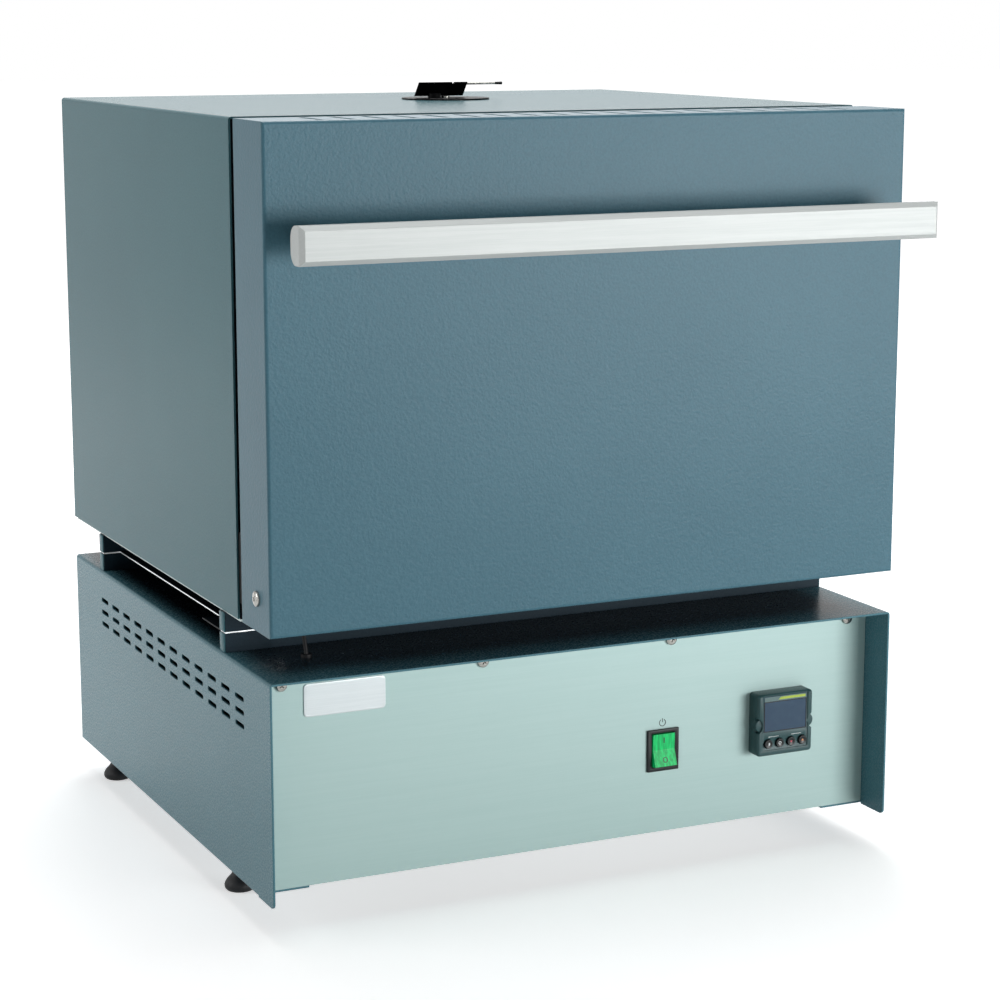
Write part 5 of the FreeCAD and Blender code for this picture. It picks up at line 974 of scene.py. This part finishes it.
def makeCoils():
    for side in ("left", "right"):
        low, high, middle = placeOf(f"heating_element_{side}")
        radius = (high.x - low.x) / 2
        pattern = makeCoilRun(radius)
        bottom, top = low.z + radius, high.z - radius
        pitch = (top - bottom) / (coil["runs"] - 1)
        pieces = []
        for number in range(coil["runs"]):
            level = bottom + number * pitch
            run = copyOf(pattern, "run")
            run.data.transform(Matrix.Translation((middle.x, low.y, level)))
            pieces.append(run)
            if number < coil["runs"] - 1:
                end = coil["tail"] if number % 2 else coil["length"] - coil["tail"]
                spot = (middle.x, low.y + end, level)
                link = addPost("link", spot, coil["link"], pitch, sides=14)
                roundEdges(link, 0.6 * mm)
                pieces.append(link)
        for level in (bottom, top):
            start = low.y + coil["length"] - coil["overlap"]
            tail = addPost("tail", (middle.x, start, level), coil["tail"], high.y - start, toBack, 16)
            roundEdges(tail, 0.5 * mm)
            pieces.append(tail)
        winding = joinAll(pieces, f"coil_{side}")
        smooth(winding, 50)
        seat(winding, "elementWire", [f"heating_element_{side}"])
        bpy.data.objects.remove(pattern)
    print("coils ready")


makeCoils()


foot = {
    "sides": 44,
    # height and radius of each ring in millimetres, from the hollow of the sole up to the neck
    "rings": (
        (1.4, 5.2), (0.2, 6.2), (0.0, 8.4), (0.5, 9.9), (1.5, 10.9), (3.0, 11.5), (4.6, 11.5), (6.3, 10.9),
        (8.2, 9.7), (10.0, 8.1), (11.5, 6.7), (12.8, 5.9), (14.2, 5.7), (26.99, 5.7),
    ),
    "stud": 3.0 * mm,
    "nut": 5.7 * mm,
    "nutHeight": 5.0 * mm,
    "deck": 2.4 * mm,
}


def makeFootPattern():
    # a turned rubber foot that stands on z = 0, with a hollow sole
    start, width = foot["rings"][0]
    pickNothing()
    bpy.ops.mesh.primitive_circle_add(
        vertices=foot["sides"], radius=width * mm, fill_type="NGON", location=(0, 0, start * mm),
    )
    rubber = settle("footPattern")
    editMode(rubber, kind="EDGE")
    for (level, wide), (levelNext, wideNext) in zip(foot["rings"], foot["rings"][1:]):
        rise = (0, 0, (levelNext - level) * mm)
        bpy.ops.mesh.extrude_edges_move(TRANSFORM_OT_translate={"value": rise})
        bpy.ops.transform.resize(value=(wideNext / wide, wideNext / wide, 1), center_override=(0, 0, 0))
    bpy.ops.mesh.edge_face_add()
    bpy.ops.mesh.select_all(action="SELECT")
    bpy.ops.mesh.normals_make_consistent(inside=False)
    smooth(rubber, 40)
    return rubber


def makeFeet():
    pattern = makeFootPattern()
    neck = foot["rings"][-1][0] * mm
    for name in nodeFinishes["footRubber"]:
        low, high, middle = placeOf(name)
        rubber = standCopy(pattern, f"{name}_rubber", (middle.x, middle.y, low.z))
        seat(rubber, "footRubber", [name])
        stud = addPost("stud", (middle.x, middle.y, neck), foot["stud"], high.z - neck)
        spot = (middle.x, middle.y, neck + foot["deck"])
        nut = addPost("nut", spot, foot["nut"], foot["nutHeight"], sides=6)
        for piece in (stud, nut):
            roundEdges(piece, 0.5 * mm)
        held = joinAll([stud, nut], f"{name}_stud")
        smooth(held)
        seat(held, "screwMetal", [name])
    bpy.data.objects.remove(pattern)


cap = {  # how far it reaches out of the channel or into it, its inset, and its rounding
    "lid": (0.9 * mm, 0.1 * mm, 0.3 * mm),
    "plug": (-5.0 * mm, 1.9 * mm, 0.8 * mm),
}


def makeCaps():
    # a pressed cap closes each open end of the four channels
    number = 0
    for name in ("front_riser", "front_bearer", "rear_riser", "rear_bearer"):
        low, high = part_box(name)
        for side, end in ((-1, low.x), (1, high.x)):
            number += 1
            parts = []
            for title, (reach, inset, corner) in cap.items():
                near, far = sorted((end, end + side * reach))
                partLow = (near, low.y + inset, low.z + inset)
                part = addBox(title, partLow, (far, high.y - inset, high.z - inset))
                roundEdges(part, corner)
                parts.append(part)
            closed = joinAll(parts, f"channel_cap_{number}")
            smooth(closed)
            seat(closed, "cabinetPaint")


badge = {"corner": 3.0 * mm, "border": 1.3 * mm, "groove": 0.4 * mm, "sink": 0.12 * mm}


def makeBadge():
    # a bare plate with rounded corners and a thin pressed line round its edge
    plate = addBox("name_plate", *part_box("badge_plate"))
    roundCorners(plate, badge["corner"], 6)
    half, sink = badge["groove"] / 2, badge["sink"]
    insetFront(plate, (badge["border"], 0), (half, -sink), (half, sink))
    roundEdges(plate, 0.1 * mm, 2, 60)
    smooth(plate, 30)
    seat(plate, "badgeMetal", ["badge_plate"])


lever = inMetres(
    length=31,
    round=0.96,  # a little over the wire of the solid, which it covers
    tipLength=6.5, tipRound=1.25,
) | {
    "tipTaper": 0.8,
}


def makeLever():
    # the wire is bright from the grip to a dark sleeve on its end
    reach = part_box("damper_grip")[1].x
    points = [vertex.co for vertex in node["damper_grip"].data.vertices if vertex.co.x > reach - 0.1 * mm]
    end = sum(points, Vector()) / len(points)
    start = (end.x - lever["length"], end.y, end.z)
    wire = addPost("lever_wire", start, lever["round"], lever["length"] - 0.2 * mm, toRight, 20)
    roundEdges(wire, 0.2 * mm)
    start = (end.x - lever["tipLength"], end.y, end.z)
    tip = addPost("lever_tip", start, lever["tipRound"], lever["tipLength"] + 0.2 * mm, toRight, 24)
    editMode(tip, lambda face: face.normal.x < -0.9)
    bpy.ops.transform.resize(value=(1, lever["tipTaper"], lever["tipTaper"]))
    roundEdges(tip, 0.4 * mm, 3)
    for piece, finish in ((wire, "screwMetal"), (tip, "sleevePlastic")):
        smooth(piece)
        seat(piece, finish, body="damper")


gland = inMetres(
    bore=4.5, thread=9.9, nut=13, nutHeight=6, flange=11, flangeHeight=3.2, dome=10.2,
    ribDepth=0.55, ribInset=0.12, lip=1.6,
) | {
    "ribs": 18, "ribLength": 0.9,
}


def makeGland():
    # hexagonal nut inside the panel, and outside it a flange and a ribbed dome round the bore
    low, high, middle = placeOf("cord_gland")
    inner, outer = (corner.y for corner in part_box("base_back_panel"))
    domeStart, steps = outer + gland["flangeHeight"], gland["ribs"] * 4

    def turned(name, start, end, radius, sides=48):
        return addPost(name, (middle.x, start, middle.z), radius, end - start, toBack, sides)

    def inRib(face):
        step = round(math.atan2(face.normal.z, face.normal.x) / (2 * math.pi) * steps)
        return abs(face.normal.y) < 0.5 and step % 4 in (0, 1)

    thread = turned("thread", low.y, outer, gland["thread"])
    nut = turned("nut", inner - gland["nutHeight"], inner, gland["nut"], 6)
    roundEdges(nut, 0.6 * mm)
    flange = turned("flange", outer, domeStart, gland["flange"])
    roundEdges(flange, 0.4 * mm)
    dome = turned("dome", domeStart, high.y, gland["dome"], steps)
    editMode(dome, inRib)
    bpy.ops.mesh.inset(thickness=gland["ribInset"], depth=0)
    narrowing = 1 - gland["ribDepth"] / gland["dome"]
    centre = (middle.x, (domeStart + high.y) / 2, middle.z)
    bpy.ops.transform.resize(value=(narrowing, gland["ribLength"], narrowing), center_override=centre)
    editMode(dome, lambda face: face.normal.y > 0.9)
    bpy.ops.mesh.inset(thickness=gland["lip"], depth=0)
    pieces = [thread, nut, flange, dome]
    for piece in pieces:
        cutWith(piece, turned("bore", low.y - mm, high.y + mm, gland["bore"], 40))
    whole = joinAll(pieces, "gland_body")
    smooth(whole)
    seat(whole, "blackPlastic", ["cord_gland"])


makeFeet()
makeCaps()
makeBadge()
makeLever()
makeGland()
print("feet, caps, plate, lever and gland ready")


stage = {
    "floorSize": 40,
    "floorTone": (250, 250, 250),
    "glowNear": 0.5,  # only seen by the camera and by gloss, so that the floor stays white
    "glowFar": 1.0,
    "glowFrom": (0.75, 2.4),  # metres from the middle
    "roomLight": 0.13,  # what reaches a matt surface from all round
    "lamps": [
        # place, target, width, height, power
        ((-2.6, 0.6, 1.1), (0, 0, 0.2), 1.4, 1.2, 19),
        ((1.4, -2.5, 0.35), (0, 0, 0.3), 1.5, 0.65, 48),
        ((0.2, 0.3, 2.7), (0, 0, 0.4), 1.8, 1.8, 36),
        ((0.9, 2.1, 2.1), (0, 0, 0.4), 1.5, 1.2, 28),
    ],
}


def whiteWhenSeen(tree, background, light):
    # full strength for what the camera, gloss and glass see, and another for the light that it gives
    path = addNode(tree, "LightPath").outputs
    total = mathNode(tree, "ADD", path["Is Camera Ray"], path["Is Glossy Ray"])
    total = mathNode(tree, "ADD", total, path["Is Transmission Ray"], clamp=True)
    fill(tree, background, Strength=spread(tree, total, 0, 1, light, 1, "LINEAR"))


def standIn(name, data, place, turn):
    # stands a lamp or the camera in the scene
    holder = bpy.data.objects.new(name, data)
    holder.location, holder.rotation_euler = place, turn
    bpy.context.scene.collection.objects.link(holder)
    return holder


def makeStage():
    room = bpy.data.worlds.new("room")
    bpy.context.scene.world = room
    room.use_nodes = True
    background = room.node_tree.nodes["Background"]
    fill(room.node_tree, background, Color=(255, 255, 255))
    whiteWhenSeen(room.node_tree, background, stage["roomLight"])

    pickNothing()
    bpy.ops.mesh.primitive_plane_add(size=stage["floorSize"], location=(0, 0, 0))
    floor = settle("floor")
    finish = bpy.data.materials.new("floorFinish")
    finish.use_nodes = True
    tree = finish.node_tree
    tree.nodes.clear()
    where = addNode(tree, "TexCoord").outputs["Object"]
    away = addNode(tree, "VectorMath", where, operation="LENGTH").outputs["Value"]
    reach = spread(tree, away, *stage["glowFrom"], stage["glowNear"], stage["glowFar"])
    glow = addNode(tree, "Emission", Color=reach)
    whiteWhenSeen(tree, glow, 0)
    matt = addNode(tree, "BsdfDiffuse", Color=stage["floorTone"])
    both = addNode(tree, "AddShader", matt.outputs[0], glow.outputs[0])
    addNode(tree, "OutputMaterial", Surface=both.outputs[0])
    dress(floor, finish)

    for number, (place, target, width, height, power) in enumerate(stage["lamps"]):
        lamp = bpy.data.lights.new(f"softbox{number}", "AREA")
        lamp.shape = "RECTANGLE"
        lamp.size, lamp.size_y = width, height
        lamp.energy = power
        turn = (Vector(target) - Vector(place)).to_track_quat("-Z", "Y").to_euler()
        standIn(f"softbox{number}", lamp, place, turn).visible_camera = False


camera = {
    "place": (-0.8243, -1.7866, 0.6374),
    "turn": 25.32,
    "tilt": 10.95,
    "lens": 91.87,
    "sensor": 36,
    "sees": (0.05, 60),  # from how near to how far, in metres
}


def makeCamera():
    lens = bpy.data.cameras.new("camera")
    lens.lens, lens.sensor_width = camera["lens"], camera["sensor"]
    lens.clip_start, lens.clip_end = camera["sees"]
    turn = (math.radians(90 - camera["tilt"]), 0, math.radians(-camera["turn"]))
    bpy.context.scene.camera = standIn("camera", lens, camera["place"], turn)


makeStage()
makeCamera()
bpy.context.scene.view_settings.view_transform = "Standard"
print("stage and camera ready")

pickNothing()
